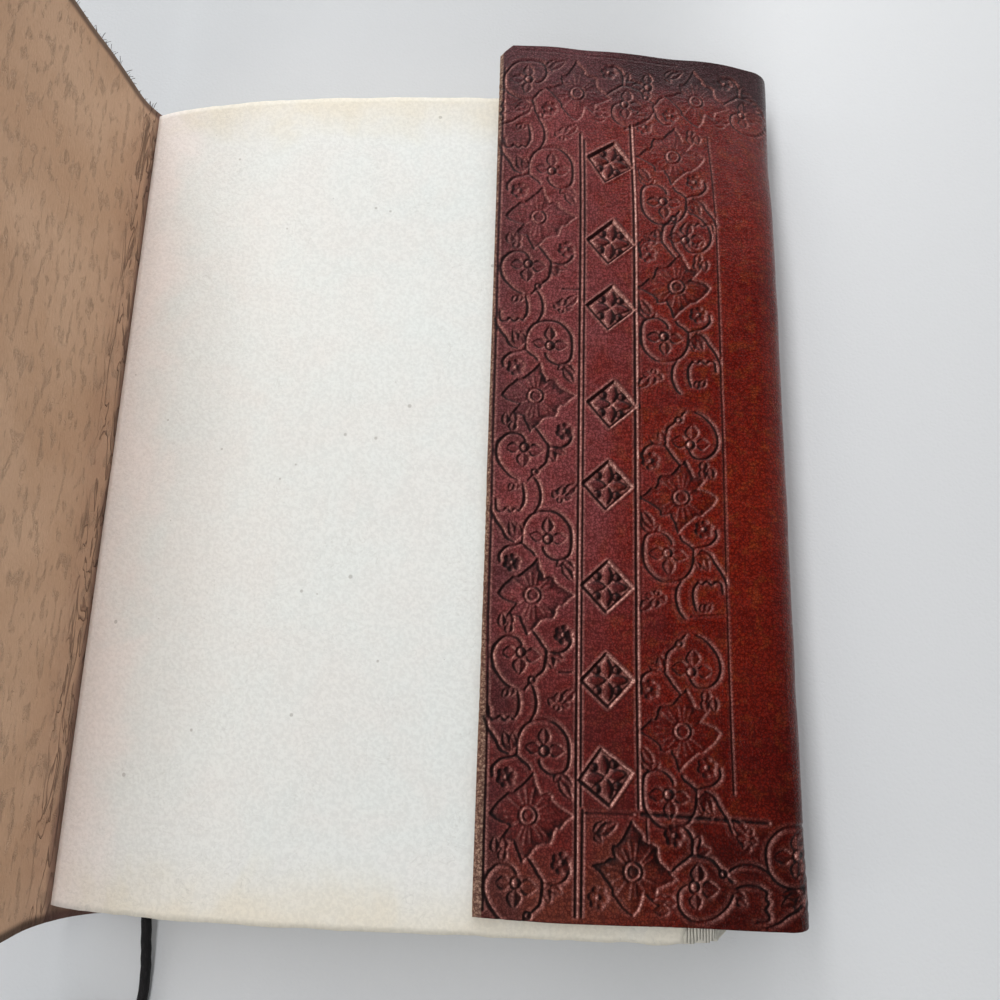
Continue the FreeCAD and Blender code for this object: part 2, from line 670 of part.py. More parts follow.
def tie_cord_coil():
    """Outer shape of the neat coil that holds the rest of the cord, flat on the table."""
    coil = document.addObject("Part::Torus", "tie_cord_coil")
    coil.setExpression("Radius1", "Sizes.coil_radius")
    coil.setExpression("Radius2", "Sizes.coil_bundle_radius")
    place(coil, COIL_X, COIL_Y, "Sizes.coil_bundle_radius")
    return coil


def tie_cord_knot():
    """Stopper knot on the cord's free end, beside the coil."""
    knot = document.addObject("Part::Sphere", "tie_cord_knot")
    knot.setExpression("Radius", "Sizes.knot_radius")
    bundle = "Sizes.coil_radius + Sizes.coil_bundle_radius"
    reach = f"({bundle} + Sizes.knot_radius - Sizes.knot_bite) * cos(45)"
    place(knot, f"{COIL_X} - {reach}", f"{COIL_Y} - {reach}", "Sizes.knot_radius")
    return knot


# ---------------------------------------------------------------- build, check and write
def build():
    blank = flap_blank()
    back_blank = back_cover_blank()
    parts = [
        cut_from("back_cover", back_blank, sewing_holes()),
        front_cover(),
        fore_edge_wrap(),
        cut_from("flap", blank, flap_tooling()),
        page_block(),
    ]
    parts += [sewing_thread(row) for row in range(int(value("Sizes.gathering_count")))]
    parts += [tie_cord(), tie_cord_coil(), tie_cord_knot()]
    document.recompute()
    return parts


def check(parts):
    """Stops the build if any object failed or any sub-part is not one sound solid."""
    for thing in document.Objects:
        if "Invalid" in thing.State or "Error" in thing.State:
            raise RuntimeError(f"{thing.Name} failed: {thing.State}")
    for part in parts:
        shape = part.Shape
        if shape.isNull() or not shape.isValid() or len(shape.Solids) != 1:
            raise RuntimeError(f"{part.Label} is not one valid solid")


def write(parts):
    os.makedirs("parts", exist_ok=True)
    for part in parts:
        part.Shape.exportStep(f"parts/{part.Label}.step")


journal = build()
check(journal)
write(journal)
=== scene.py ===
import math

import bpy
import numpy as np
from mathutils import Matrix, Vector


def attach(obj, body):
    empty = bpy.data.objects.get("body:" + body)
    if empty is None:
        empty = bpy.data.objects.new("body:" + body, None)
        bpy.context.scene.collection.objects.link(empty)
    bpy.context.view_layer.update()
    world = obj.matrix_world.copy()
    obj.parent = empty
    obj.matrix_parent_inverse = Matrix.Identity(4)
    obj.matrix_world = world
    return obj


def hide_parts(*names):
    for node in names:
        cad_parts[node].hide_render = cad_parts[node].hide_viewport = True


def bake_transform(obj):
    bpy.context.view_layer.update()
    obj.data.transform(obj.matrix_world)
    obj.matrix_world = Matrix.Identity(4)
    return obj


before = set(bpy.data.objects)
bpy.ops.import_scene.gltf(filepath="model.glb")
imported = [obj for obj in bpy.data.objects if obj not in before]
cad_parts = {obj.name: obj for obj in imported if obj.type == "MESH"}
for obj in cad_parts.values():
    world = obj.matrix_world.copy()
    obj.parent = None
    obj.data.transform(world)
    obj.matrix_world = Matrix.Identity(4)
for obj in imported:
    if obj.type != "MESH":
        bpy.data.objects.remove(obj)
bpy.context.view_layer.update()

MM = 0.001
BLOCK = "bound_block"

# ---------------------------------------------------------------- sizes, in millimetres
LEATHER = 2.4
HALF_HEIGHT = 131.3
SKEW = 5.5
PAGE_HALF_HEIGHT = 127.0
SPINE_X, SPINE_Z = -90.5, 24.2
SPINE_RADIUS = 23.0
GATHERINGS = 8
SHEETS = 5
PAPER = 0.19
CORD = 3.0
THREAD = 1.0


# ---------------------------------------------------------------- camera
def set_camera():
    data = bpy.data.cameras.new("table_camera")
    data.lens = 27.04
    data.sensor_width = 36.0
    data.clip_start = 0.01
    camera = bpy.data.objects.new("table_camera", data)
    camera.location = (0.0215, -0.05962, 0.24129)
    camera.rotation_euler = (0.2044, 0.0285, 0.0298)
    bpy.context.scene.collection.objects.link(camera)
    bpy.context.scene.camera = camera


set_camera()


# ---------------------------------------------------------------- lines and meshes
def ease(value, low, high):
    """A smooth step from 0 to 1 as the value goes from low to high."""
    t = np.clip((value - low) / (high - low), 0, 1)
    return t * t * (3 - 2 * t)


def reach_of(line):
    """How far along a line of points each of them is."""
    return np.concatenate([[0.0], np.cumsum(np.linalg.norm(np.diff(line, axis=0), axis=1))])


def link(thing):
    bpy.context.scene.collection.objects.link(thing)
    return thing


def smooth(piece):
    piece.data.polygons.foreach_set("use_smooth", np.full(len(piece.data.polygons), True))
    piece.data.update()
    return piece


def mesh_piece(name, points, faces, materials, marks=None, places=None):
    """A mesh piece from points in millimetres; marks are material numbers, places the UVs."""
    mesh = bpy.data.meshes.new(name)
    mesh.from_pydata((np.asarray(points) * MM).tolist(), [], faces)
    for material in materials:
        mesh.materials.append(material)
    if marks is not None:
        mesh.polygons.foreach_set("material_index", np.asarray(marks, np.int32))
    if places is not None:
        layer = mesh.uv_layers.new(name="surface")
        corners = np.zeros(len(mesh.loops), np.int32)
        mesh.loops.foreach_get("vertex_index", corners)
        layer.data.foreach_set("uv", (np.asarray(places)[corners] * MM).astype(np.float32).ravel())
    return smooth(link(bpy.data.objects.new(name, mesh)))


def mark_points(piece, title, values):
    """Stores a number on each point."""
    layer = piece.data.attributes.new(title, "FLOAT", "POINT")
    layer.data.foreach_set("value", np.asarray(values, np.float32))


def grid_faces(count, rows, first=0, turned=False):
    """The faces of a grid of points; turned ones look the other way."""
    faces = []
    for i in range(count - 1):
        for j in range(rows - 1):
            one = first + i * rows + j
            others = (one + 1, one + rows + 1, one + rows)
            faces.append((one, *(others[::-1] if turned else others)))
    return faces


def border_of(count, rows):
    """The outer places of a grid, once round."""
    return ([(i, 0) for i in range(count)] + [(count - 1, j) for j in range(1, rows)]
            + [(i, rows - 1) for i in range(count - 2, -1, -1)]
            + [(0, j) for j in range(rows - 2, 0, -1)])


def curve_object(name, lines, kind, steps=1):
    """A curve with a spline for each line of points in millimetres."""
    data = bpy.data.curves.new(name, "CURVE")
    data.dimensions = "3D"
    for line in lines:
        spline = data.splines.new(kind)
        spline.points.add(len(line) - 1)
        for point, place in zip(spline.points, line):
            point.co = (*(value * MM for value in place), 1.0)
        if kind == "NURBS":
            spline.order_u = 3
            spline.use_endpoint_u = True
            spline.resolution_u = steps
    return link(bpy.data.objects.new(name, data))


def as_mesh(carrier):
    """The evaluated carrier as a plain mesh; the carrier goes."""
    bpy.context.view_layer.update()
    graph = bpy.context.evaluated_depsgraph_get()
    mesh = bpy.data.meshes.new_from_object(carrier.evaluated_get(graph))
    bpy.data.objects.remove(carrier)
    return mesh


# ---------------------------------------------------------------- node helpers
class Value:
    """A node's output, which sums and products are written with as if it were a number."""

    def __init__(self, socket):
        self.socket = socket

    def __add__(self, other):
        return calc("ADD", self, other)

    def __sub__(self, other):
        return calc("SUBTRACT", self, other)

    def __rsub__(self, other):
        return calc("SUBTRACT", other, self)

    def __mul__(self, other):
        return calc("MULTIPLY", self, other)

    def __truediv__(self, other):
        return calc("DIVIDE", self, other)

    def __abs__(self):
        return calc("ABSOLUTE", self)

    __radd__ = __add__
    __rmul__ = __mul__


def put(tree, kind, inputs=None, **settings):
    """A node with its settings, and its inputs linked or set."""
    made = tree.nodes.new(kind)
    for key, value in settings.items():
        setattr(made, key, value)
    for key, value in (inputs or {}).items():
        if isinstance(value, Value):
            tree.links.new(value.socket, made.inputs[key])
        else:
            made.inputs[key].default_value = value
    return made


def source(tree, kind, inputs=None, output=0, **settings):
    """The output of a new node."""
    return Value(put(tree, kind, inputs, **settings).outputs[output])


def node(kind, inputs, output=0, **settings):
    """The output of a new node, in the tree that its inputs come from."""
    tree = next(value.socket.id_data for value in inputs.values() if isinstance(value, Value))
    return source(tree, kind, inputs, output, **settings)


def calc(operation, *terms):
    """A Math node's value."""
    return node("ShaderNodeMath", dict(enumerate(terms)), operation=operation)


def largest(first, *others):
    """The largest of some values."""
    for other in others:
        first = calc("MAXIMUM", first, other)
    return first


def ramp(value, low, high, start=0.0, end=1.0, kind="LINEAR"):
    """Goes from start to end as the value goes from low to high."""
    return node("ShaderNodeMapRange", {0: value, 1: low, 2: high, 3: start, 4: end},
                interpolation_type=kind)


def stepped(*values):
    """A ramp that starts and ends smoothly."""
    return ramp(*values, kind="SMOOTHSTEP")


def mixed(factor, first, second, kind="MIX"):
    """Two colours mixed; a fixed one is its red, green and blue."""
    first, second = ((*colour, 1.0) if isinstance(colour, tuple) else colour for colour in (first, second))
    return node("ShaderNodeMix", {0: factor, 6: first, 7: second}, 2, data_type="RGBA", blend_type=kind)


def layered(colour, *layers):
    """A colour with others laid over it, each through its own mask."""
    for mask, other in layers:
        colour = mixed(mask, colour, other)
    return colour


def tinted(colour, *channels):
    """A colour multiplied by a value for its red, its green and its blue."""
    return mixed(1.0, colour, node("ShaderNodeCombineColor", dict(enumerate(channels))), "MULTIPLY")


def vector_sum(first, second):
    return node("ShaderNodeVectorMath", {0: first, 1: second}, operation="ADD")


def stretched(vector, scale):
    """A vector times a vector."""
    return node("ShaderNodeVectorMath", {0: vector, 1: scale}, operation="MULTIPLY")


def scaled(vector, scale):
    """A vector times a number."""
    return node("ShaderNodeVectorMath", {0: vector, "Scale": scale}, operation="SCALE")


def parts_of(vector):
    """A vector's X, Y and Z."""
    tree = vector.socket.id_data
    return [Value(socket) for socket in put(tree, "ShaderNodeSeparateXYZ", {0: vector}).outputs]


def noise(vector, scale, detail=3.0, distortion=0.0, rough=0.55):
    return node("ShaderNodeTexNoise", {"Vector": vector, "Scale": scale, "Detail": detail,
                                       "Roughness": rough, "Distortion": distortion}, "Fac")


def node_group(name, kind, inputs, outputs):
    """An empty node group with named sockets: its tree and the values given to it."""
    tree = bpy.data.node_groups.new(name, kind)
    for title, sort, value in inputs:
        socket = tree.interface.new_socket(title, in_out="INPUT", socket_type="NodeSocket" + sort)
        if value is not None:
            socket.default_value = value
    for title, sort in outputs:
        tree.interface.new_socket(title, in_out="OUTPUT", socket_type="NodeSocket" + sort)
    given = put(tree, "NodeGroupInput").outputs
    return tree, [Value(given[title]) for title, _, _ in inputs]


def shader_group(name, inputs, *outputs):
    """A shader node group for a place on a surface; its other inputs and its outputs are numbers."""
    inputs = [("Place", "Vector", None)] + [(title, "Float", value) for title, value in inputs]
    return node_group(name, "ShaderNodeTree", inputs, [(title, "Float") for title in outputs])


# ---------------------------------------------------------------- shared surface effects
def make_uneven_tone():
    """Cloudy patches, and finer blotches inside them, about 0.5."""
    tree, (place, scale) = shader_group("uneven_tone", [("Patches per metre", 40.0)], "Patches", "Blotches")
    patches = noise(place, scale, 3.0, 0.4)
    blotches = noise(place, scale * 6.3, 4.0, 0.2, 0.65)
    put(tree, "NodeGroupOutput", {"Patches": stepped(patches, 0.28, 0.72),
                                  "Blotches": stepped(blotches, 0.25, 0.75)})
    return tree


def make_hide_grain():
    """Pebbled grain with pores: a height and a mask of the valleys between pebbles."""
    tree, (place, scale) = shader_group("hide_grain", [("Pebbles per metre", 900.0)], "Height", "Valleys")
    shaken = node("ShaderNodeTexNoise", {"Vector": place, "Scale": scale, "Detail": 1.0}, "Color")
    moved = vector_sum(place, scaled(shaken, 0.0006))
    pebbles = node("ShaderNodeTexVoronoi", {"Vector": moved, "Scale": scale}, "Distance",
                   feature="DISTANCE_TO_EDGE")
    fine = noise(place, scale * 1.9, 3.0, 0.0, 0.6)
    coarse = noise(place, scale * 0.3, 2.0, 0.6)
    height = stepped(pebbles, 0.0, 0.32) * 0.35 + fine * 0.5 + coarse * 0.9
    put(tree, "NodeGroupOutput", {"Height": height, "Valleys": stepped(pebbles, 0.16, 0.0)})
    return tree


def make_loose_fibres():
    """Short bent fibres that lie on a surface: thin lines and the nap between them."""
    tree, (place, scale, bend, thinness) = shader_group(
        "loose_fibres", [("Fibres per metre", 800.0), ("Bend", 1.5), ("Thinness", 0.9)], "Lines", "Nap")
    wave = noise(place, scale, 2.0, bend, 0.5)
    lines = ramp(1.0 - abs(wave * 2.0 - 1.0), thinness, 1.0)
    lines = lines * stepped(noise(place, scale * 0.45, 1.0), 0.5, 0.62)
    put(tree, "NodeGroupOutput", {"Lines": lines, "Nap": noise(place, scale * 1.7, 3.0, 0.5, 0.6)})
    return tree


UNEVEN_TONE = make_uneven_tone()
HIDE_GRAIN = make_hide_grain()
LOOSE_FIBRES = make_loose_fibres()


def use(group, *values):
    """A group placed in a material and given its values in order: its outputs by name."""
    made = put(values[0].socket.id_data, "ShaderNodeGroup", dict(enumerate(values)), node_tree=group)
    return {socket.name: Value(socket) for socket in made.outputs}


# ---------------------------------------------------------------- finishes
def new_material(name, **shader_values):
    """A material with a Principled shader whose constant sockets are set, and its tree."""
    material = bpy.data.materials.new(name)
    material.use_nodes = True
    shader = material.node_tree.nodes["Principled BSDF"]
    for title, value in shader_values.items():
        shader.inputs[title.replace("_", " ")].default_value = value
    return material, material.node_tree


def finished(material, colour, roughness, height, depth):
    """The material with colour, roughness and bump; depth is the bump's height in metres."""
    shader = material.node_tree.nodes["Principled BSDF"]
    bump = node("ShaderNodeBump", {"Strength": 1.0, "Distance": depth, "Height": height})
    for title, value in (("Base Color", colour), ("Roughness", roughness), ("Normal", bump)):
        material.node_tree.links.new(value.socket, shader.inputs[title])
    return material


def on_surface(tree):
    """The hide's own map, in metres: the place, the distance run and the distance along."""
    place = source(tree, "ShaderNodeUVMap", uv_map="surface")
    run, along, _ = parts_of(place)
    return place, run, along


def in_space(tree):
    """The place in the object's own space, in metres."""
    return source(tree, "ShaderNodeTexCoord", output="Object")


# the runs of the back and of the front cover, in metres, and a creased double frame's insets
OUTER_FACES = ((0.1133, 0.2943), (0.3304, 0.5160))
FRAME_INSETS = (0.012, 0.0145)


def frame_line(run, along, low, high, inset):
    """A line creased round an outer face at an inset from its border."""
    side = calc("MINIMUM", run - low, high - run)
    to_border = calc("MINIMUM", side, HALF_HEIGHT * MM - abs(along))
    return stepped(abs(to_border - inset), 0.0006, 0.0002)


def make_leather():
    """Veg-tanned hide, dyed deep red: a rosy painted sheen by the free edge and head, warm wear elsewhere."""
    material, tree = new_material("tooled_leather", Specular_IOR_Level=0.15, IOR=1.45)
    place, run, along = on_surface(tree)
    dye, worn = (source(tree, "ShaderNodeAttribute", output="Fac", attribute_name=name)
                 for name in ("dye", "worn"))
    tone, fine_tone = use(UNEVEN_TONE, place, 36.0), use(UNEVEN_TONE, place, 170.0)
    grain = use(HIDE_GRAIN, place, 1150.0)
    drift = (tone["Patches"] - 0.5) * 0.016
    run_here, along_here = run + drift, along + drift

    # masks that follow the distance from the free edge, the head and the tail
    to_head = stepped(along_here, 0.020, 0.102)
    to_tail = stepped(along_here, -0.030, -0.092)
    outer = stepped(run, 0.094, 0.104)
    # A painted sheen: a rosy grey reflection painted by the free edge and the head, weaker towards the tail.
    painted_sheen = stepped(run_here, 0.061, 0.015) * (0.95 - to_tail * 0.62) * (1.0 - to_head * 0.35)
    painted_sheen = (painted_sheen + to_head * 0.22) * (1.0 - outer)
    painted_sheen = node("ShaderNodeClamp", {0: painted_sheen * stepped(fine_tone["Patches"], -0.6, 1.2, 0.45, 1.25)})
    tail_wear = stepped(along_here, -0.106, -0.122) * stepped(outer, 1.0, 0.0, 0.0, 0.6)
    tail_wear = tail_wear * stepped(run_here, 0.050, 0.032, 0.25, 1.0)
    tail_shade = stepped(along_here, -0.092, -0.110) * stepped(run_here, 0.046, 0.060, 0.0, 0.62)
    tail_shade = tail_shade * stepped(run_here, 0.100, 0.090)
    head_shade = stepped(along_here, 0.104, 0.118) * stepped(outer, 1.0, 0.0, 0.0, 0.68)
    head_rim = stepped(along_here, 0.114, 0.124) * stepped(run, 0.026, 0.052)
    rim = largest(head_rim, stepped(run_here, 0.013, 0.002) * 0.55) * (1.0 - outer)

    # masks that follow the tooling, and the free edge where it is rubbed bare
    pressed = largest(*[frame_line(run, along, low, high, inset)
                        for low, high in OUTER_FACES for inset in FRAME_INSETS])
    dye = stepped(largest(dye, pressed * 0.8), 0.05, 0.80)
    rubbed_back = stepped(along, -0.055, -0.100, 0.0, 0.0012)
    bare_tone = mixed(fine_tone["Blotches"], (0.135, 0.066, 0.048), (0.30, 0.175, 0.125))

    warm_spot = stepped(tone["Blotches"], 0.50, 0.85) * stepped(run, 0.026, 0.034)
    colour = mixed(tone["Patches"], (0.118, 0.0046, 0.0020), (0.162, 0.0100, 0.0034))
    colour = layered(colour,
                     (warm_spot * 0.42, (0.19, 0.034, 0.0070)),
                     (painted_sheen, (0.182, 0.039, 0.041)),
                     (to_tail * 0.42, (0.040, 0.0020, 0.0016)),
                     (tail_wear, (0.115, 0.026, 0.012)),
                     (tail_shade, (0.026, 0.0012, 0.0010)),
                     (head_shade, (0.052, 0.020, 0.026)),
                     (rim * 0.90, (0.038, 0.013, 0.016)),
                     # The wear mask holds rubbed crests and painted highlights; its brightest part gets a
                     # pale pink painted highlight. The stain mask holds stain and painted shade.
                     (worn * 0.90, (0.40, 0.165, 0.140)),
                     (stepped(worn, 0.80, 1.0, 0.0, 0.65), (0.78, 0.430, 0.360)),
                     (stepped(run - rubbed_back, 0.0010, 0.0006), bare_tone),
                     (dye * 0.93, mixed(to_head, (0.0030, 0.0006, 0.0008), (0.016, 0.0045, 0.0060))))

    streaks = noise(stretched(place, (1.0, 0.12, 1.0)), 1500.0, 2.0, 0.4)
    brushed = noise(stretched(place, (0.10, 1.0, 1.0)), 900.0, 3.0, 0.3)
    # The valleys between the pebbles are painted darker, a painted shade in the grain; the blotches, streaks
    # and brushing are the hide's own tone.
    specks = fine_tone["Blotches"] * 0.5 + grain["Valleys"] * -0.35
    specks = specks + (streaks - 0.5) * 0.4 + (brushed - 0.5) * 0.45
    colour = tinted(colour, *(stepped(specks, -0.04, 0.42, low, high)
                              for low, high in ((0.55, 1.42), (0.46, 1.55), (0.46, 1.55))))
    rough = stepped(run_here, 0.022, 0.050, 0.36, 0.23) + fine_tone["Patches"] * 0.10
    rough = rough + dye * 0.10 - worn * 0.08
    return finished(material, colour, rough, grain["Height"] - pressed * 3.0, 0.00015)


def make_suede():
    """The flesh side: napped, tan, with stretch wrinkles where the cover turns up from the spine."""
    material, tree = new_material("suede", Specular_IOR_Level=0.1, Sheen_Weight=0.12,
                                  Sheen_Roughness=0.6, Sheen_Tint=(1.0, 0.85, 0.7, 1.0))
    place, run, along = on_surface(tree)
    tone = use(UNEVEN_TONE, place, 30.0)
    nap = use(LOOSE_FIBRES, stretched(place, (1.0, 0.35, 1.0)), 900.0, 2.0, 0.80)
    run_here = run + (noise(place, 26.0, 3.0, 0.5) - 0.5) * 0.006
    ridges = noise(stretched(place, (1.0, 0.14, 1.0)), 300.0, 2.0, 1.0)
    fold = stepped(abs(ridges - 0.5), 0.026, 0.004) * stepped(run_here, 0.3188, 0.3205)
    fold = fold * stepped(run_here, 0.3290, 0.3245)
    # The wrinkles are painted darker, a painted shade in their creases; the suede is also darker towards the
    # fold at the spine.
    colour = layered(mixed(tone["Patches"], (0.62, 0.385, 0.245), (0.72, 0.475, 0.320)),
                     (nap["Nap"] * 0.30, (0.36, 0.200, 0.120)),
                     (nap["Lines"] * 0.3, (0.70, 0.50, 0.36)),
                     (stepped(abs(along), 0.1280, 0.1300) * 0.85, (0.045, 0.021, 0.015)),
                     (stepped(run, 0.336, 0.322) * 0.22, (0.24, 0.120, 0.085)),
                     (stepped(run_here, 0.3222, 0.3200, 0.0, 0.6), (0.120, 0.058, 0.055)),
                     (fold * 0.42, (0.110, 0.050, 0.038)))
    height = nap["Nap"] + nap["Lines"] * 0.8 - fold * 4.0
    return finished(material, colour, stepped(nap["Nap"], 0.2, 0.8, 0.82, 0.98), height, 0.00022)


def make_cut_edge():
    """Where the knife went through: fibrous layers, tan at the flap's free edge, darker elsewhere."""
    material, tree = new_material("cut_edge", Specular_IOR_Level=0.15)
    place, run, _ = on_surface(tree)
    fibres = use(LOOSE_FIBRES, stretched(place, (0.5, 1.0, 1.0)), 1300.0, 1.2, 0.75)
    tone = use(UNEVEN_TONE, place, 120.0)
    colour = layered(mixed(stepped(run, 0.012, 0.002), (0.075, 0.030, 0.020), (0.30, 0.190, 0.120)),
                     (tone["Blotches"] * 0.45, (0.055, 0.026, 0.018)),
                     (fibres["Lines"] * 0.7, (0.42, 0.30, 0.21)))
    rough = stepped(fibres["Nap"], 0.2, 0.8, 0.75, 0.95)
    return finished(material, colour, rough, fibres["Nap"] + fibres["Lines"], 0.0003)


def make_paper():
    """Cotton rag paper: a toothy surface with specks and fibres, creamier towards its edges, with a painted
    warm light towards the gutter.
    """
    material, tree = new_material("rag_paper", Specular_IOR_Level=0.12)
    place = in_space(tree)
    x, y, _ = parts_of(place)
    tone, tooth = use(UNEVEN_TONE, place, 45.0), use(UNEVEN_TONE, place, 900.0)
    fibres = use(LOOSE_FIBRES, place, 130.0, 2.4, 0.975)
    drift = (tone["Patches"] - 0.5) * 0.010
    edge = stepped(abs(y + SKEW * MM) + drift, 0.108, 0.128)
    painted_gutter_light = stepped(x + drift, -0.086, -0.106)
    # Towards the gutter the paper is painted lighter and pinker, a painted warm light bounced from the
    # leather.
    colour = layered(mixed(tone["Patches"], (0.825, 0.828, 0.800), (0.815, 0.848, 0.826)),
                     (edge, (0.815, 0.768, 0.660)), (painted_gutter_light * 0.75, (0.93, 0.865, 0.835)))
    shade = stepped(tooth["Patches"], 0.0, 1.0, 0.955, 1.035)
    dots = put(tree, "ShaderNodeTexVoronoi", {"Vector": place, "Scale": 210.0}).outputs
    size, chance = (node("ShaderNodeSeparateColor", {0: Value(dots["Color"])}, channel) for channel in (1, 0))
    dot = calc("LESS_THAN", Value(dots["Distance"]), stepped(size, 0.0, 1.0, 0.04, 0.13))
    dot = dot * calc("GREATER_THAN", chance, 0.90)
    colour = layered(tinted(colour, shade, shade, shade),
                     (dot * 0.38, (0.22, 0.20, 0.17)), (fibres["Lines"] * 0.22, (0.42, 0.42, 0.38)))
    rough = stepped(tooth["Blotches"], 0.0, 1.0, 0.84, 0.95)
    return finished(material, colour, rough, tooth["Patches"] + tooth["Blotches"] * 0.3, 0.00005)


def make_thread_finish():
    """Waxed linen thread."""
    material, tree = new_material("linen_thread", Specular_IOR_Level=0.3)
    place = in_space(tree)
    fibres = use(LOOSE_FIBRES, stretched(place, (1.0, 0.3, 1.0)), 2500.0, 0.6, 0.7)
    tone = use(UNEVEN_TONE, place, 90.0)
    colour = layered(mixed(tone["Patches"], (0.72, 0.65, 0.54), (0.80, 0.74, 0.64)),
                     (fibres["Lines"] * 0.5, (0.50, 0.42, 0.32)))
    return finished(material, colour, stepped(fibres["Nap"], 0.2, 0.8, 0.5, 0.75), fibres["Nap"], 0.00008)


def make_fibre_finish():
    """Dark fibres that stand off the cut edge."""
    material, tree = new_material("edge_fibres", Specular_IOR_Level=0.15)
    tone = use(UNEVEN_TONE, in_space(tree), 260.0)
    colour = mixed(tone["Patches"], (0.016, 0.008, 0.006), (0.075, 0.040, 0.028))
    rough = stepped(tone["Blotches"], 0.2, 0.8, 0.7, 0.9)
    return finished(material, colour, rough, tone["Blotches"], 0.00002)


def make_cord_finish():
    """Black cotton cord, lightly waxed and a little dusty on its ridges."""
    material, tree = new_material("black_cord", Specular_IOR_Level=0.28)
    place, _, _ = on_surface(tree)
    fibres = use(LOOSE_FIBRES, stretched(place, (1.0, 0.25, 1.0)), 1800.0, 0.8, 0.75)
    tone = use(UNEVEN_TONE, place, 160.0)
    colour = layered(mixed(tone["Patches"], (0.0050, 0.0045, 0.0052), (0.0110, 0.0100, 0.0110)),
                     (fibres["Lines"] * 0.35, (0.035, 0.032, 0.033)))
    rough = stepped(fibres["Nap"], 0.2, 0.8, 0.62, 0.88)
    return finished(material, colour, rough, fibres["Nap"] + fibres["Lines"], 0.00010)


def make_table_finish():
    """A pale, finely textured table top, with painted light to the right and painted shade on the far side by
    the head.
    """
    material, tree = new_material("table_top", Specular_IOR_Level=0.2)
    place = in_space(tree)
    x, y, _ = parts_of(place)
    tone = use(UNEVEN_TONE, place, 14.0)
    grain = use(HIDE_GRAIN, place, 620.0)
    # Painted light and shade: the table is painted lighter to the right and darker on the far side, by the
    # head and to the left.
    painted_far_shade = stepped(y, 0.06, 0.19, 0.0, 0.8) * stepped(x, 0.12, 0.03)
    colour = layered(mixed(tone["Patches"], (0.690, 0.705, 0.722), (0.720, 0.735, 0.752)),
                     (stepped(x, 0.05, 0.13, 0.0, 0.9), (0.860, 0.875, 0.890)),
                     (painted_far_shade, (0.560, 0.575, 0.590)))
    rough = stepped(grain["Valleys"], 0.0, 1.0, 0.55, 0.75)
    return finished(material, colour, rough, grain["Height"], 0.00006)


# ---------------------------------------------------------------- tie cord
# The height of the cord's middle line where it lies on the table.
ON_TABLE = 1.6
# From its caught end under the last leaf, over the tail edge and down to the table.
CORD_ROUTE = [(-88.6, -105.0, 4.0), (-88.0, -118.0, 4.0), (-86.5, -140.0, 4.0),
              (-85.8, -154.0, ON_TABLE), (-86.6, -167.0, ON_TABLE), (-87.0, -181.0, ON_TABLE)]
COIL_CENTRE = (-104.0, -187.0)
COIL_RADIUS = 17.0
TURN_GAP = 3.4
POINTS_PER_TURN = 18
COIL_TURNS = 7
# How far out and how high the cord is as it leaves the bundle for the knot.
LEAD = [(3.6, 4.0), (4.4, 3.2), (5.2, 2.4), (6.0, 1.9), (6.9, 1.9), (7.8, 2.6)]
KNOT_CENTRE = (-121.4, -204.4, 4.2)
KNOT_SIZE = 1.05
KNOT_POINTS = 96
CORD_SIDES = 16
STRANDS = 3
STRAND_DEPTH = 0.10
STRAND_PITCH = 16.0


def on_coil(step, out, height):
    """A place round the coil, some way out from its middle."""
    angle = -2 * math.pi * step / POINTS_PER_TURN
    radius = COIL_RADIUS + out
    return (COIL_CENTRE[0] + radius * math.cos(angle), COIL_CENTRE[1] + radius * math.sin(angle), height)


def coil_route():
    """Seven turns in a hexagonal bundle; each turn moves to its next place as it ends."""
    across, rise = TURN_GAP / 2, TURN_GAP * math.sin(math.radians(60))
    bundle = [(1, 0), (-1, 0), (-2, 1), (0, 1), (-1, 2), (1, 2), (2, 1)]
    places = [(out * across, ON_TABLE + layer * rise) for out, layer in bundle]
    route = []
    for step in range(3, COIL_TURNS * POINTS_PER_TURN + 1):
        turn, within = divmod(step / POINTS_PER_TURN, 1.0)
        turn = min(int(turn), COIL_TURNS - 1)
        here, ahead = places[turn], places[min(turn + 1, COIL_TURNS - 1)]
        share = ease(within, 0.7, 1.0)
        route.append(on_coil(step, *(a + (b - a) * share for a, b in zip(here, ahead))))
    return route


def cord_points():
    """The cord's line: its route's NURBS curve, as points."""
    route = CORD_ROUTE + coil_route() + [on_coil(step, *place) for step, place in enumerate(LEAD, 1)]
    carrier = curve_object("route", [route + [KNOT_CENTRE]], "NURBS", steps=6)
    return np.array([vertex.co for vertex in as_mesh(carrier).vertices]) / MM


def knot_points():
    """An overhand knot's line, drawn tight."""
    line = []
    for k in range(KNOT_POINTS + 1):
        t = 2 * math.pi * k / KNOT_POINTS
        line.append(KNOT_CENTRE + KNOT_SIZE * np.array([math.sin(t) + 2 * math.sin(2 * t),
                                                        math.cos(t) - 2 * math.cos(2 * t),
                                                        -1.5 * math.sin(3 * t)]))
    return line


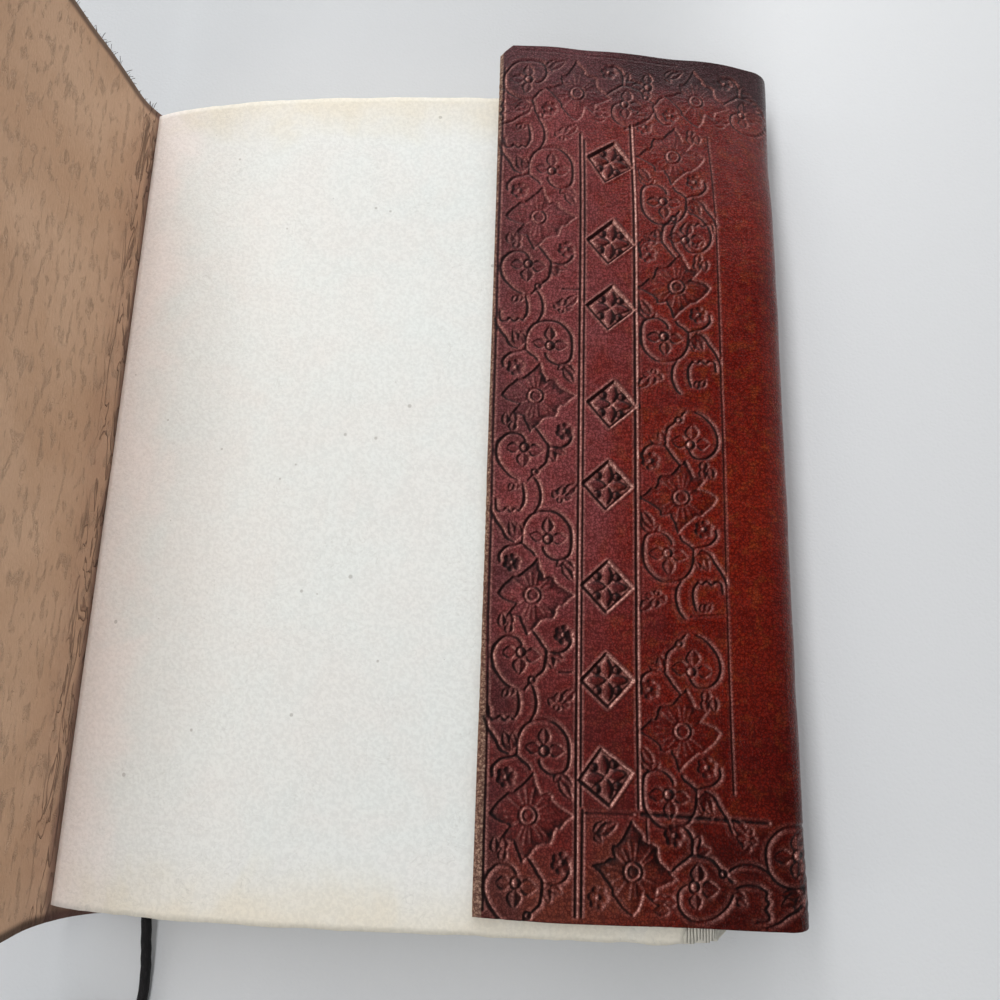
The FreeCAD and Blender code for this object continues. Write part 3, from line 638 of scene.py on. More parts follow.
def twisted_cord(name, line, material):
    """A closed tube along the line with three strands that twist round it."""
    points = np.asarray(line, float)
    tangent = np.gradient(points, axis=0)
    tangent /= np.linalg.norm(tangent, axis=1)[:, None]
    side = np.cross(tangent[0], (0.0, 0.0, 1.0))
    side /= np.linalg.norm(side)
    ring = np.arange(CORD_SIDES) * 2 * math.pi / CORD_SIDES
    rows, places = [], []
    for place, direction, run in zip(points, tangent, reach_of(points)):
        side = side - direction * side.dot(direction)
        side /= np.linalg.norm(side)
        twist = 2 * math.pi * run / STRAND_PITCH
        reach = CORD / 2 * (1 - STRAND_DEPTH * (0.5 + 0.5 * np.cos(STRANDS * (ring - twist))))
        rows.append(place + np.outer(reach * np.cos(ring), side)
                    + np.outer(reach * np.sin(ring), np.cross(direction, side)))
        places.append(np.column_stack([ring * CORD / 2, np.full(CORD_SIDES, run)]))
    faces = []
    for low in range(0, (len(points) - 1) * CORD_SIDES, CORD_SIDES):
        high = low + CORD_SIDES
        for at in range(CORD_SIDES):
            after = (at + 1) % CORD_SIDES
            faces.append((high + at, high + after, low + after, low + at))
    faces.append(tuple(range(CORD_SIDES)))
    last = (len(points) - 1) * CORD_SIDES
    faces.append(tuple(last + at for at in reversed(range(CORD_SIDES))))
    return mesh_piece(name, np.concatenate(rows), faces, [material], places=np.concatenate(places))


# ---------------------------------------------------------------- cover leather shape
# One hide runs from the flap's free edge, round the fore-edge, under the pages, up the spine
# and to the front cover's far edge. A place on it is (run, along): run is the distance from
# the flap's free edge, along is the distance from its middle towards the head.
RUN_WALL = 97.0
RUN_BACK = 113.303
RUN_SPINE = 294.303
RUN_COVER = 330.431
RUN_END = 516.031
RIB_STEPS = 1400
FRONT_STEPS = 600
# where the closed cover lies over the flap, and how much the free corner is cut back
OVER_FLAP = (422.0, 458.0)
CORNER_CUT = 3.6


def arc(centre, radius, start, end, count=24):
    angles = np.radians(np.linspace(start, end, count))
    return [(centre[0] + radius * math.cos(a), centre[1] + radius * math.sin(a)) for a in angles]


def spaced(line, count):
    """The line's points again, evenly spaced by length."""
    line = np.asarray(line, float)
    reach = reach_of(line)
    at = np.linspace(0, reach[-1], count)
    return np.column_stack([np.interp(at, reach, line[:, k]) for k in range(2)])


def smooth_line(knots, count=400):
    """A Catmull-Rom curve through the knots."""
    knots = np.asarray(knots, float)
    knots = np.vstack([2 * knots[0] - knots[1], knots, 2 * knots[-1] - knots[-2]])
    line = []
    for p0, p1, p2, p3 in zip(knots, knots[1:], knots[2:], knots[3:]):
        for t in np.linspace(0, 1, max(2, count // len(knots)), endpoint=False):
            line.append(0.5 * (2 * p1 + (p2 - p0) * t + (2 * p0 - 5 * p1 + 4 * p2 - p3) * t * t
                               + (3 * p1 - p0 - 3 * p2 + p3) * t ** 3))
    line.append(knots[-2])
    return np.array(line)


# The section from the flap's free edge round the fore-edge, which differs along the flap.
WRAP_RIBS = {
    "head": smooth_line([(10.3, 28.6), (17.0, 28.3), (29.4, 27.5), (42.6, 26.1), (56.1, 24.4),
                         (73.0, 22.4), (83.4, 20.6), (90.6, 18.7), (95.7, 17.2), (98.6, 15.0),
                         (100.0, 12.2), (100.0, 9.4), (98.6, 5.6), (95.2, 2.6), (90.5, 1.2)]),
    "middle": [(10.5, 25.8), *arc((89.5, 16.8), 9.0, 90, 0), *arc((90.5, 9.2), 8.0, 0, -90)],
    "tail": [(10.5, 25.8), (60.0, 26.0), *arc((92.6, 20.6), 5.2, 90, 10), *arc((90.0, 9.2), 8.0, 0, -90)],
}
# The rest of the section, the same all along: the back, the spine and the upright cover.
REST = [(90.5, 1.2), *arc((SPINE_X, SPINE_Z), SPINE_RADIUS, -90, -180, 60), (-113.5, 209.8)]


def full_rib(front):
    """Points along the whole hide at even steps of run."""
    runs = np.linspace(0, RUN_END, RIB_STEPS)
    front = spaced(front, FRONT_STEPS)
    back = np.asarray(REST, float)
    before = runs < RUN_BACK
    line = np.empty((RIB_STEPS, 2))
    for k in range(2):
        line[before, k] = np.interp(runs[before] / RUN_BACK, np.linspace(0, 1, FRONT_STEPS), front[:, k])
        line[~before, k] = np.interp(runs[~before] - RUN_BACK, reach_of(back), back[:, k])
    return line


RIBS = {name: full_rib(line) for name, line in WRAP_RIBS.items()}


def ripple(one, two, seed, wave):
    """A smooth random surface about -1 to 1, the same on each run: seven waves added."""
    draw = np.random.default_rng(seed)
    total = 0.0
    for _ in range(7):
        angle = draw.uniform(0, math.pi)
        length = wave * draw.uniform(0.6, 1.7)
        turn = 2 * math.pi / length
        total = total + np.sin(turn * (one * math.cos(angle) + two * math.sin(angle))
                               + draw.uniform(0, 2 * math.pi))
    return total / math.sqrt(7)


def middle_surface(run, along):
    """Middle of the leather and its outward direction, across the section."""
    head = ease(along, 55, 131) ** 1.3
    tail = ease(-along, 60, 128)
    weights = {"head": head, "middle": 1 - head - tail, "tail": tail}
    share = run / RUN_END * (RIB_STEPS - 1)
    steps = np.arange(RIB_STEPS)

    def between_ribs(k, reading):
        return sum(weight * np.interp(share, steps, reading(RIBS[name][:, k]))
                   for name, weight in weights.items())

    x, z, dx, dz = (between_ribs(k, reading) for reading in (np.array, np.gradient) for k in range(2))
    size = np.hypot(dx, dz)
    return x, z, -dz / size, dx / size


def leather_life(run, along):
    """Slow waves of a hand-cut hide, outward, in millimetres. The cover bows out where it
    comes down over the flap, and more at the head, where the flap stands higher."""
    flap = ease(-run, -RUN_WALL, -60.0)
    cover = ease(run, RUN_COVER, RUN_COVER + 60)
    over_flap = ease(run, *OVER_FLAP)
    return (0.22 * flap * ripple(run, along, seed=11, wave=70) + 0.10 * ripple(run, along, seed=12, wave=24)
            + 0.9 * cover * (1 - 0.75 * over_flap) * ripple(run, along, seed=13, wave=150)
            + over_flap * (0.9 + 2.4 * ease(along, 40, 125)))


def on_hide(run, along, outward):
    """Row-frame points at a distance outward from the leather's middle."""
    cut = np.maximum(0, CORNER_CUT - run) * ease(along, 112, HALF_HEIGHT)
    wander = (0.35 * ease(along, 118, HALF_HEIGHT) * ripple(run, 0.0, seed=21, wave=34)
              + 0.30 * ease(-along, 118, HALF_HEIGHT) * ripple(run, 0.0, seed=22, wave=41))
    ends = ease(-run, -10, 0) + ease(run, RUN_END - 10, RUN_END)
    shift = 0.30 * ends * ripple(along, 0.0, seed=23, wave=60)
    x, z, nx, nz = middle_surface(np.clip(run + shift, 0, RUN_END), along)
    x = x - 0.6 * np.clip(1 - run / 4, 0, 1)
    pulled = (2.7 * ease(along, 95, HALF_HEIGHT) * ease(run, RUN_SPINE - 8, RUN_SPINE + 16)
              + 1.6 * ease(-along, 95, HALF_HEIGHT) * ease(-run, -RUN_BACK, -82))
    out = outward + leather_life(run, along)
    sideways = np.interp(run, [RUN_BACK, RUN_SPINE], [SKEW, -SKEW])
    y = sideways + along - cut - pulled + wander
    return np.stack([x + nx * out, y, z + nz * out], axis=-1)


def side_facing(runs, alongs, outward, edges):
    """A side's own normals, worked out past its joins, so that neighbouring pieces meet
    without a line; zero at the cut edges, which keep the mesh's own."""
    wide = np.concatenate([[2 * runs[0] - runs[1]], runs, [2 * runs[-1] - runs[-2]]])
    run, along = np.meshgrid(wide, alongs, indexing="ij")
    surface = on_hide(run, along, outward(run, along))
    normals = np.cross(np.gradient(surface, axis=1), np.gradient(surface, axis=0))[1:-1]
    normals /= np.linalg.norm(normals, axis=2, keepdims=True)
    for letter, border in (("f", (0, slice(None))), ("o", (-1, slice(None))),
                           ("t", (slice(None), 0)), ("h", (slice(None), -1))):
        if letter in edges:
            normals[border] = 0.0
    return normals.reshape(-1, 3)


def plain(run, along):
    """No tooling: no heights, no stain or painted shade, and no wear or painted highlight."""
    return np.zeros((3,) + run.shape)


def cut_rims(runs, alongs, border, edges):
    """Two rings of points round a sheet's border, rough and rounded where the hide was cut."""
    last_run, last_along = len(runs) - 1, len(alongs) - 1
    points, places = [], []
    for level, bulge, seed in ((0.42, 0.16, 32), (-0.30, 0.20, 31)):
        ring = []
        for i, j in border:
            out_run = (i == last_run and "o" in edges) - (i == 0 and "f" in edges)
            out_along = (j == last_along and "h" in edges) - (j == 0 and "t" in edges)
            ring.append((runs[i] + bulge * out_run, alongs[j] + bulge * out_along))
        run, along = np.array(ring).T
        rough = 0.06 * ripple(run, along, seed, wave=2.2)
        points.append(on_hide(run + rough, along + rough, LEATHER / 2 * level))
        places.append(np.column_stack([run, along]))
    return points, places


def leather_sheet(name, runs, alongs, materials, edges, tooling=plain, coarse=1):
    """A closed sheet of leather. Its grain side has every station, its flesh side one in coarse.
    Edges are its cut sides: h head, t tail, f nearest the free edge, o at the other end.
    Tooling gives the grain side's heights, its stain with painted shade, and its wear with painted
    highlights."""
    count, rows = len(runs), len(alongs)
    run, along = np.meshgrid(runs, alongs, indexing="ij")
    keep_run = sorted({*range(0, count, coarse), count - 1})
    keep_along = sorted({*range(0, rows, coarse), rows - 1})
    inner_run, inner_along = np.meshgrid(runs[keep_run], alongs[keep_along], indexing="ij")

    lift, dye, worn = tooling(run, along)

    def grain_height(run, along):
        return LEATHER / 2 + tooling(run, along)[0]

    def flesh_height(run, along):
        return -LEATHER / 2

    grain = on_hide(run, along, LEATHER / 2 + lift).reshape(-1, 3)
    flesh = on_hide(inner_run, inner_along, -LEATHER / 2).reshape(-1, 3)
    border = border_of(count, rows)
    rims, rim_places = cut_rims(runs, alongs, border, edges)
    points = np.concatenate([grain, *rims, flesh])
    places = np.concatenate([np.column_stack([run.ravel(), along.ravel()]), *rim_places,
                             np.column_stack([inner_run.ravel(), inner_along.ravel()])])

    faces = grid_faces(count, rows)
    marks = [0] * len(faces)
    around = len(border)
    first = len(grain)
    second = first + around
    inner = second + around
    for k in range(around):
        after = (k + 1) % around
        low, high = (border[at][0] * rows + border[at][1] for at in (k, after))
        faces.append((low, high, first + after, first + k))
        faces.append((first + k, first + after, second + after, second + k))
    inner_rows = len(keep_along)
    inner_at = {(i, j): inner + row * inner_rows + column
                for row, i in enumerate(keep_run) for column, j in enumerate(keep_along)}
    stops = [k for k in range(around) if border[k] in inner_at]
    for this, then in zip(stops, stops[1:] + [stops[0] + around]):
        chain = [second + k % around for k in range(this, then + 1)]
        faces.append((*chain, inner_at[border[then % around]], inner_at[border[this]]))
    marks += [2] * (len(faces) - len(marks))
    faces += grid_faces(len(keep_run), inner_rows, inner, turned=True)
    marks += [1] * (len(faces) - len(marks))

    piece = mesh_piece(name, points, faces, materials, marks, places)
    for title, values in (("dye", dye), ("worn", worn)):
        mark_points(piece, title, np.concatenate([values.ravel(), np.zeros(len(points) - first)]))
    normals = np.zeros((len(points), 3))
    normals[:first] = side_facing(runs, alongs, grain_height, edges)
    normals[inner:] = -side_facing(runs[keep_run], alongs[keep_along], flesh_height, edges)
    piece.data.normals_split_custom_set_from_vertices(normals.tolist())
    return piece


# ---------------------------------------------------------------- grown pieces
def finish_tree(tree, geometry, material):
    """Ends a Geometry Nodes tree with real geometry in its material."""
    real = node("GeometryNodeRealizeInstances", {0: geometry})
    covered = node("GeometryNodeSetMaterial", {"Geometry": real, "Material": material})
    put(tree, "NodeGroupOutput", {0: covered})
    return tree


def grown(name, carrier, tree, values):
    """The carrier with a Geometry Nodes tree on it, as a plain mesh piece."""
    modifier = carrier.modifiers.new(tree.name, "NODES")
    modifier.node_group = tree
    for item in tree.interface.items_tree:
        if item.item_type == "SOCKET" and item.in_out == "INPUT" and item.name in values:
            modifier[item.identifier] = values[item.name]
    mesh = as_mesh(carrier)
    mesh.name = name
    return link(bpy.data.objects.new(name, mesh))


def fringe_tree():
    """Short bent fibres standing along an edge, each turned and sized by chance."""
    tree, (edge, gap, length, thickness, seed, fibre_finish) = node_group(
        "edge_fringe", "GeometryNodeTree",
        [("Edge", "Geometry", None), ("Gap", "Float", 0.00055), ("Length", "Float", 0.0023),
         ("Thickness", "Float", 0.00019), ("Seed", "Int", 5), ("Fibre", "Material", None)],
        [("Fringe", "Geometry")])
    even = node("GeometryNodeResampleCurve", {"Curve": edge, "Length": gap}, mode="LENGTH")
    bend = source(tree, "GeometryNodeCurveQuadraticBezier",
                  {"Resolution": 3, "Start": (0.0, -0.2, 0.0), "Middle": (0.05, 0.6, 0.1),
                   "End": (0.4, 1.0, -0.1)})
    circle = source(tree, "GeometryNodeCurvePrimitiveCircle", {"Resolution": 3, "Radius": 0.5})
    thin = thickness / length
    section = node("GeometryNodeTransform",
                   {"Geometry": circle, "Scale": node("ShaderNodeCombineXYZ", {0: thin, 1: thin, 2: 1.0})})
    fibre = node("GeometryNodeCurveToMesh", {"Curve": bend, "Profile Curve": section, "Fill Caps": True})
    turn = node("FunctionNodeRandomValue",
                {"Min": (-0.5, -2.8, -0.9), "Max": (0.5, 2.8, 0.9), "Seed": seed}, data_type="FLOAT_VECTOR")
    share = node("FunctionNodeRandomValue", {2: 0.15, 3: 1.0, "Seed": seed}, 1, data_type="FLOAT")
    placed = node("GeometryNodeInstanceOnPoints",
                  {"Points": even, "Instance": fibre, "Rotation": turn,
                   "Scale": length * calc("POWER", share, 1.6)})
    return finish_tree(tree, placed, fibre_finish)


def make_fringe():
    """Loose fibres along the front cover's head edge."""
    runs = np.linspace(RUN_COVER - 9, RUN_END - 1, 300)
    lines = [on_hide(runs, HALF_HEIGHT, level).tolist() for level in (-0.9, 0.2)]
    carrier = curve_object("head_edge", lines, "POLY")
    return grown("head_edge_fringe", carrier, fringe_tree(), {"Fibre": make_fibre_finish()})


# ---------------------------------------------------------------- pages
# The upper path is the first leaf's section, from its fore-edge to its fold in the gutter;
# the lower path is the last leaf's. A leaf between them is at a share of the way down.
UPPER_PATH = smooth_line([(65.9, 24.0), (33.0, 24.0), (0.0, 24.0), (-33.0, 23.9), (-60.0, 22.9),
                          (-85.5, 19.9), (-100.3, 16.2), (-108.5, 13.2)])
LOWER_PATH = smooth_line([(84.9, 2.6), (40.0, 2.6), (0.0, 2.6), (-40.0, 2.6), (-78.0, 2.6),
                          (-88.0, 2.8), (-95.9, 3.7)])
LEAVES_IN_BLOCK = 2 * GATHERINGS * SHEETS
SPINE_SWELL = 1.5
LEAF_LENGTH = 180


def leaf_blank(stations, rim_count):
    """One folded sheet, flat: its marks say where each point goes when it is laid in the block."""
    fold = [(1.0, math.cos(a), math.sin(a)) for a in np.linspace(0, math.pi, 7)]
    flat = [(k / stations) ** 0.9 for k in range(stations)]
    line = [(at, 1.0, 0.0) for at in flat] + fold + [(at, -1.0, 0.0) for at in reversed(flat)]
    count = len(line)
    rim = np.linspace(-1, 1, rim_count + 2)[1:-1]
    points, marks = [], []
    for face in (1.0, -1.0):
        for at, turn, bulge in line:
            for end in (-1.0, 1.0):
                points.append((at * LEAF_LENGTH, end * PAGE_HALF_HEIGHT, 0.0))
                marks.append((at, turn, bulge, face, end, 0.0))
        for turn in (1.0, -1.0):
            for place in rim:
                points.append((0.0, place * PAGE_HALF_HEIGHT, 0.0))
                marks.append((0.0, turn, 0.0, face, 0.0, 1.0))
    faces, edges = [], []
    for side in (0, 1):
        base = side * 2 * (count + rim_count)
        rim_start = base + 2 * count
        last = rim_start - 2
        first_edge = [base, *range(rim_start, rim_start + rim_count), base + 1]
        last_edge = [last, *range(rim_start + rim_count, rim_start + 2 * rim_count), last + 1]
        made = [(*first_edge, base + 3, base + 2)]
        for one in range(base + 2, last - 2, 2):
            made.append((one, one + 1, one + 3, one + 2))
        made.append((last - 2, last - 1, *reversed(last_edge)))
        faces += [face if side == 0 else face[::-1] for face in made]
        tail = [*range(base, rim_start, 2)]
        head = [*range(base + 1, rim_start, 2)]
        edges.append(tail + last_edge[1:-1] + head[::-1] + first_edge[-2:0:-1])
    for one, two, under_one, under_two in zip(edges[0], edges[0][1:] + edges[0][:1],
                                              edges[1], edges[1][1:] + edges[1][:1]):
        faces.append((one, two, under_two, under_one))
    blank = mesh_piece("leaf_blank", points, faces, [])
    for title, values in zip(("along", "turn", "bulge", "face", "end", "fore_edge"), zip(*marks)):
        mark_points(blank, title, values)
    return blank


def leaves_tree(paper):
    """Lays folded sheets, nested in gatherings, between two section paths."""
    tree, given = node_group(
        "nested_leaves", "GeometryNodeTree",
        [("Leaf blank", "Geometry", None), ("Upper path", "Object", None), ("Lower path", "Object", None),
         ("Gatherings", "Int", GATHERINGS), ("Sheets", "Int", SHEETS), ("Paper share", "Float", 0.0088),
         ("Deckle", "Float", 0.0008), ("Deckle size", "Float", 90.0), ("Trim", "Float", 0.0011),
         ("Stair", "Float", 0.0075), ("Spine swell", "Float", SPINE_SWELL * MM), ("Seed", "Float", 3.0)],
        [("Leaves", "Geometry")])
    blank, upper, lower, gatherings, sheets, paper_share = given[:6]
    deckle, deckle_size, trim, stair, swell, seed = given[6:]
    along, turn, bulge, face, end, fore_edge, number = (
        source(tree, "GeometryNodeInputNamedAttribute", {"Name": title}, "Attribute", data_type="FLOAT")
        for title in ("along", "turn", "bulge", "face", "end", "fore_edge", "order"))

    total = gatherings * sheets
    row = node("GeometryNodeMeshLine", {"Count": total, "Offset": (0, 0, 0)})
    index = source(tree, "GeometryNodeInputIndex")
    row = node("GeometryNodeStoreNamedAttribute", {"Geometry": row, "Name": "order", "Value": index},
               data_type="FLOAT")
    laid = node("GeometryNodeInstanceOnPoints", {"Points": row, "Instance": blank})
    real = node("GeometryNodeRealizeInstances", {0: laid})

    nested = sheets - calc("FLOORED_MODULO", number, sheets) - 0.5
    middle = (calc("FLOOR", number / sheets) + 0.5) / gatherings
    half = nested / (total * 2.0) + face * paper_share * 0.5
    depth = middle - half * turn
    along = along * (1.0 - nested * 0.0016) + bulge * half * 0.12
    along = calc("MINIMUM", along, 1.0)

    def on_path(path):
        line = node("GeometryNodeObjectInfo", {"Object": path}, "Geometry")
        return node("GeometryNodeSampleCurve", {"Curves": line, "Factor": along}, "Position", mode="FACTOR")

    section = node("ShaderNodeMix", {"Factor": depth, "A": on_path(upper), "B": on_path(lower)}, "Result",
                   data_type="VECTOR")
    bow = depth * (1.0 - depth) * 4.0
    outward = scaled((-0.6, 0.0, -0.8), stepped(along, 0.84, 1.0) * bow * swell)

    x, y, _ = parts_of(source(tree, "GeometryNodeInputPosition"))
    grain = node("ShaderNodeCombineXYZ", {0: x * deckle_size, 1: y * deckle_size,
                                          2: (number + turn * 0.37) * 5.3})
    rough = node("ShaderNodeTexNoise", {"Vector": grain, "W": seed, "Scale": 1.0, "Detail": 3.0},
                 noise_dimensions="4D")
    rough = (rough - 0.5) * (deckle * 2.4)
    cut = node("FunctionNodeRandomValue", {"Min": 0.1, "Max": 1.0, "ID": number * 2.0 + turn, "Seed": 7}, 1,
               data_type="FLOAT")
    deckled = node("ShaderNodeCombineXYZ", {0: fore_edge * rough, 1: y + (rough * 0.25 - cut * trim) * end})
    step = (1.0 - depth) * stair * ramp(depth, 0.0, 0.13) * ramp(along, 0.25, 0.0)
    place = vector_sum(vector_sum(section, outward), deckled)
    place = vector_sum(place, node("ShaderNodeCombineXYZ", {0: step}))
    moved = node("GeometryNodeSetPosition", {"Geometry": real, "Position": place})
    return finish_tree(tree, moved, paper)


def make_leaves(paper):
    helpers = {title: curve_object(title, [[(x, 0.0, z) for x, z in path]], "POLY")
               for title, path in (("Upper path", UPPER_PATH), ("Lower path", LOWER_PATH))}
    leaves = grown("page_gatherings", leaf_blank(34, 60), leaves_tree(paper), helpers)
    for helper in helpers.values():
        bpy.data.objects.remove(helper)
    leaves.data.transform(Matrix.Translation((0.0, -SKEW * MM, 0.0)))
    return smooth(leaves)


def make_first_page(paper):
    """The open page, a single deckled sheet with gentle waves, lying on the first gathering."""
    count, rows = 110, 150
    upper, lower = spaced(UPPER_PATH, 500), spaced(LOWER_PATH, 500)
    share = np.linspace(0, 1, 500)
    at, v = np.meshgrid(np.linspace(0, 1, count), np.linspace(-1, 1, rows), indexing="ij")
    depth = -0.35 / LEAVES_IN_BLOCK
    x, z = ((1 - depth) * np.interp(at, share, upper[:, k]) + depth * np.interp(at, share, lower[:, k])
            for k in range(2))
    y = v * PAGE_HALF_HEIGHT
    rough = ripple(x, 0.0, seed=41, wave=14) + 0.5 * ripple(x, 0.0, seed=42, wave=4)
    rough = (0.12 + 0.4 * np.exp(-at * 12)) * rough - 0.1
    y = y + np.sign(v) * np.clip((np.abs(v) - 0.96) / 0.04, 0, 1) * rough
    rough = 0.5 * ripple(y, 0.0, seed=43, wave=12) + 0.2 * ripple(y, 0.0, seed=44, wave=4)
    x = x + np.clip(1 - at * 30, 0, 1) * rough
    wave = 0.10 * ripple(x, y, seed=45, wave=60) + 0.03 * ripple(x, y, seed=46, wave=18)
    z = z + wave * np.clip((1 - at) * 12, 0, 1)
    into_fold = np.clip((at - 0.84) / 0.16, 0, 1) ** 1.5
    x = x - 0.9 * into_fold
    z = z + 1.4 * into_fold
    sides = [np.stack([x, y - SKEW, z + half], axis=-1).reshape(-1, 3) for half in (PAPER / 2, -PAPER / 2)]
    under = count * rows
    faces = grid_faces(count, rows) + grid_faces(count, rows, under, turned=True)
    border = [i * rows + j for i, j in border_of(count, rows)]
    for one, two in zip(border, border[1:] + border[:1]):
        faces.append((one, two, under + two, under + one))
    places = np.column_stack([x.ravel(), y.ravel()])
    return mesh_piece("first_page", np.concatenate(sides), faces, [paper], None,
                      np.concatenate([places, places]))


# ---------------------------------------------------------------- sewing
STATIONS = (-96.0, -48.0, 0.0, 48.0, 96.0)
HALF_STITCH = 2.5
THREAD_END = 120.0
HIGHEST_ROW, LOWEST_ROW = 56.5, 18.0
OUTSIDE_THREAD = SPINE_RADIUS + LEATHER / 2 + THREAD / 2 + 0.06
INSIDE_THREAD = 19.15
THREAD_BEND = 0.8


def stitch_line(angle):
    """The thread's line for one gathering: out along the spine, in at each station for one stitch."""
    legs = [(-THREAD_END, OUTSIDE_THREAD - 3.0), (-THREAD_END, OUTSIDE_THREAD)]
    for station in STATIONS:
        before, after = station - HALF_STITCH, station + HALF_STITCH
        legs += [(before, OUTSIDE_THREAD), (before, INSIDE_THREAD),
                 (after, INSIDE_THREAD), (after, OUTSIDE_THREAD)]
    legs = np.array(legs + [(THREAD_END, OUTSIDE_THREAD), (THREAD_END, OUTSIDE_THREAD - 3.0)])
    line = [legs[0]]
    for before, corner, after in zip(legs, legs[1:], legs[2:]):
        for end in (before, after):
            pull = min(THREAD_BEND, 0.4 * np.linalg.norm(end - corner))
            line.append(corner + (end - corner) / np.linalg.norm(end - corner) * pull)
    line.append(legs[-1])
    turn = math.radians(angle)
    return [(SPINE_X - r * math.sin(turn), y - SKEW, SPINE_Z - r * math.cos(turn)) for y, r in line]


def thread_tree():
    """A twisted thread along each curve: a lobed section that turns as it runs."""
    tree, (stitches, thickness, step, twist_length, strand_depth, strands, thread_finish) = node_group(
        "twisted_thread", "GeometryNodeTree",
        [("Stitches", "Geometry", None), ("Thickness", "Float", THREAD * MM), ("Step", "Float", 0.0006),
         ("Twist length", "Float", 0.0035), ("Strand depth", "Float", 0.16), ("Strands", "Int", 3),
         ("Thread", "Material", None)],
        [("Sewn", "Geometry")])
    even = node("GeometryNodeResampleCurve", {"Curve": stitches, "Length": step}, mode="LENGTH")
    run = source(tree, "GeometryNodeSplineParameter", output="Length")
    turned = node("GeometryNodeSetCurveTilt", {"Curve": even, "Tilt": run / twist_length * (2 * math.pi)})
    circle = node("GeometryNodeCurvePrimitiveCircle", {"Resolution": 12, "Radius": thickness * 0.5})
    around = source(tree, "GeometryNodeSplineParameter", output="Factor")
    lobes = calc("COSINE", around * strands * (2 * math.pi))
    swell = 1.0 - (lobes * 0.5 + 0.5) * strand_depth
    lobed = node("GeometryNodeSetPosition",
                 {"Geometry": circle, "Position": scaled(source(tree, "GeometryNodeInputPosition"), swell)})
    swept = node("GeometryNodeCurveToMesh", {"Curve": turned, "Profile Curve": lobed, "Fill Caps": True})
    return finish_tree(tree, swept, thread_finish)


def make_sewing(thread):
    angles = np.linspace(HIGHEST_ROW, LOWEST_ROW, GATHERINGS)
    carrier = curve_object("stitch_lines", [stitch_line(angle) for angle in angles], "NURBS", steps=4)
    return smooth(grown("sewing_threads", carrier, thread_tree(), {"Thread": thread}))


# ---------------------------------------------------------------- tooling of the flap
# The pressed pattern is drawn on a fine grid of heights, then read by the flap's points.
CELL = 0.2
GRID_RUN = 100.0
GRID_ALONG = 133.0
RUN_CELLS = int(GRID_RUN / CELL) + 1
ALONG_CELLS = int(2 * GRID_ALONG / CELL) + 1


class Pressing:
    """Heights and stain of the tooled leather: raised forms, pressed ground, stain with painted shade, and
    wear with painted highlights.
    """

    def __init__(self):
        self.raised, self.sunk, self.dye, self.worn = np.zeros((4, RUN_CELLS, ALONG_CELLS))

    def window(self, points, margin):
        """The part of the grid round some points, and the run and along of each cell in it."""
        points = np.asarray(points, float)
        low, high = points.min(axis=0) - margin, points.max(axis=0) + margin
        spans = []
        for k, (start, cells) in enumerate(((0.0, RUN_CELLS), (GRID_ALONG, ALONG_CELLS))):
            first = int(max(0, (low[k] + start) / CELL))
            spans.append((first, max(first, int(min(cells, (high[k] + start) / CELL + 2)))))
        run, along = (np.arange(*span) * CELL for span in spans)
        return tuple(slice(*span) for span in spans), *np.meshgrid(run, along - GRID_ALONG, indexing="ij")

    def about(self, centre, margin):
        """The window round a place, and each cell's distance from it."""
        area, run, along = self.window([centre], margin)
        return area, np.hypot(run - centre[0], along - centre[1])

    def keep(self, area, high=0.0, low=0.0, dye=0.0):
        """Adds a form where it is stronger than what is there."""
        for grid, value in ((self.raised, high), (self.sunk, low), (self.dye, dye)):
            grid[area] = np.maximum(grid[area], value)

    def replace(self, area, where, **values):
        """Puts new values in place of what is there."""
        for title, value in values.items():
            grid = getattr(self, title)
            grid[area] = np.where(where, value, grid[area])


def distance_to(run, along, line):
    """Distance from each place to a line of points, and how far along it the nearest place is."""
    best = np.full(run.shape, 1e9)
    where = np.zeros(run.shape)
    for number, (start, end) in enumerate(zip(line, line[1:])):
        dx, dy = end[0] - start[0], end[1] - start[1]
        size = dx * dx + dy * dy + 1e-9
        t = np.clip(((run - start[0]) * dx + (along - start[1]) * dy) / size, 0, 1)
        gap = np.hypot(run - start[0] - t * dx, along - start[1] - t * dy)
        closer = gap < best
        best = np.where(closer, gap, best)
        where = np.where(closer, (number + t) / (len(line) - 1), where)
    return best, where


def inside(run, along, corners):
    """True where a place is inside the polygon."""
    result = np.zeros(run.shape, bool)
    for (x1, y1), (x2, y2) in zip(corners, corners[1:] + corners[:1]):
        crosses = (y1 > along) != (y2 > along)
        result ^= crosses & (run < (x2 - x1) * (along - y1) / (y2 - y1 + 1e-12) + x1)
    return result


def bell(distance, width):
    """1 at no distance, falling away over the width."""
    return np.exp(-(distance / width) ** 2)


def dome(share):
    """A round form's height at a share of its radius."""
    return np.sqrt(np.clip(1 - share ** 2, 0, 1))


def around(centre, reach, degrees):
    """The place at a distance from the centre in a direction."""
    angle = math.radians(degrees)
    return centre[0] + reach * math.cos(angle), centre[1] + reach * math.sin(angle)


def vine(pressing, line, strength):
    """A stem drawn as a narrow groove that thins to its ends, with a low lip on each side."""
    line = smooth_line(line, 12 * len(line))
    area, run, along = pressing.window(line, 2.5)
    gap, where = distance_to(run, along, line)
    half = 0.32 * (0.6 + 0.4 * np.sin(math.pi * np.clip(where, 0.02, 0.98)) ** 0.5)
    pressing.keep(area, 0.30 * strength * bell(gap - 1.05, 0.42), 0.95 * strength * bell(gap, half),
                  min(1.0, 0.25 + 0.6 * strength) * bell(gap, 1.15 * half))


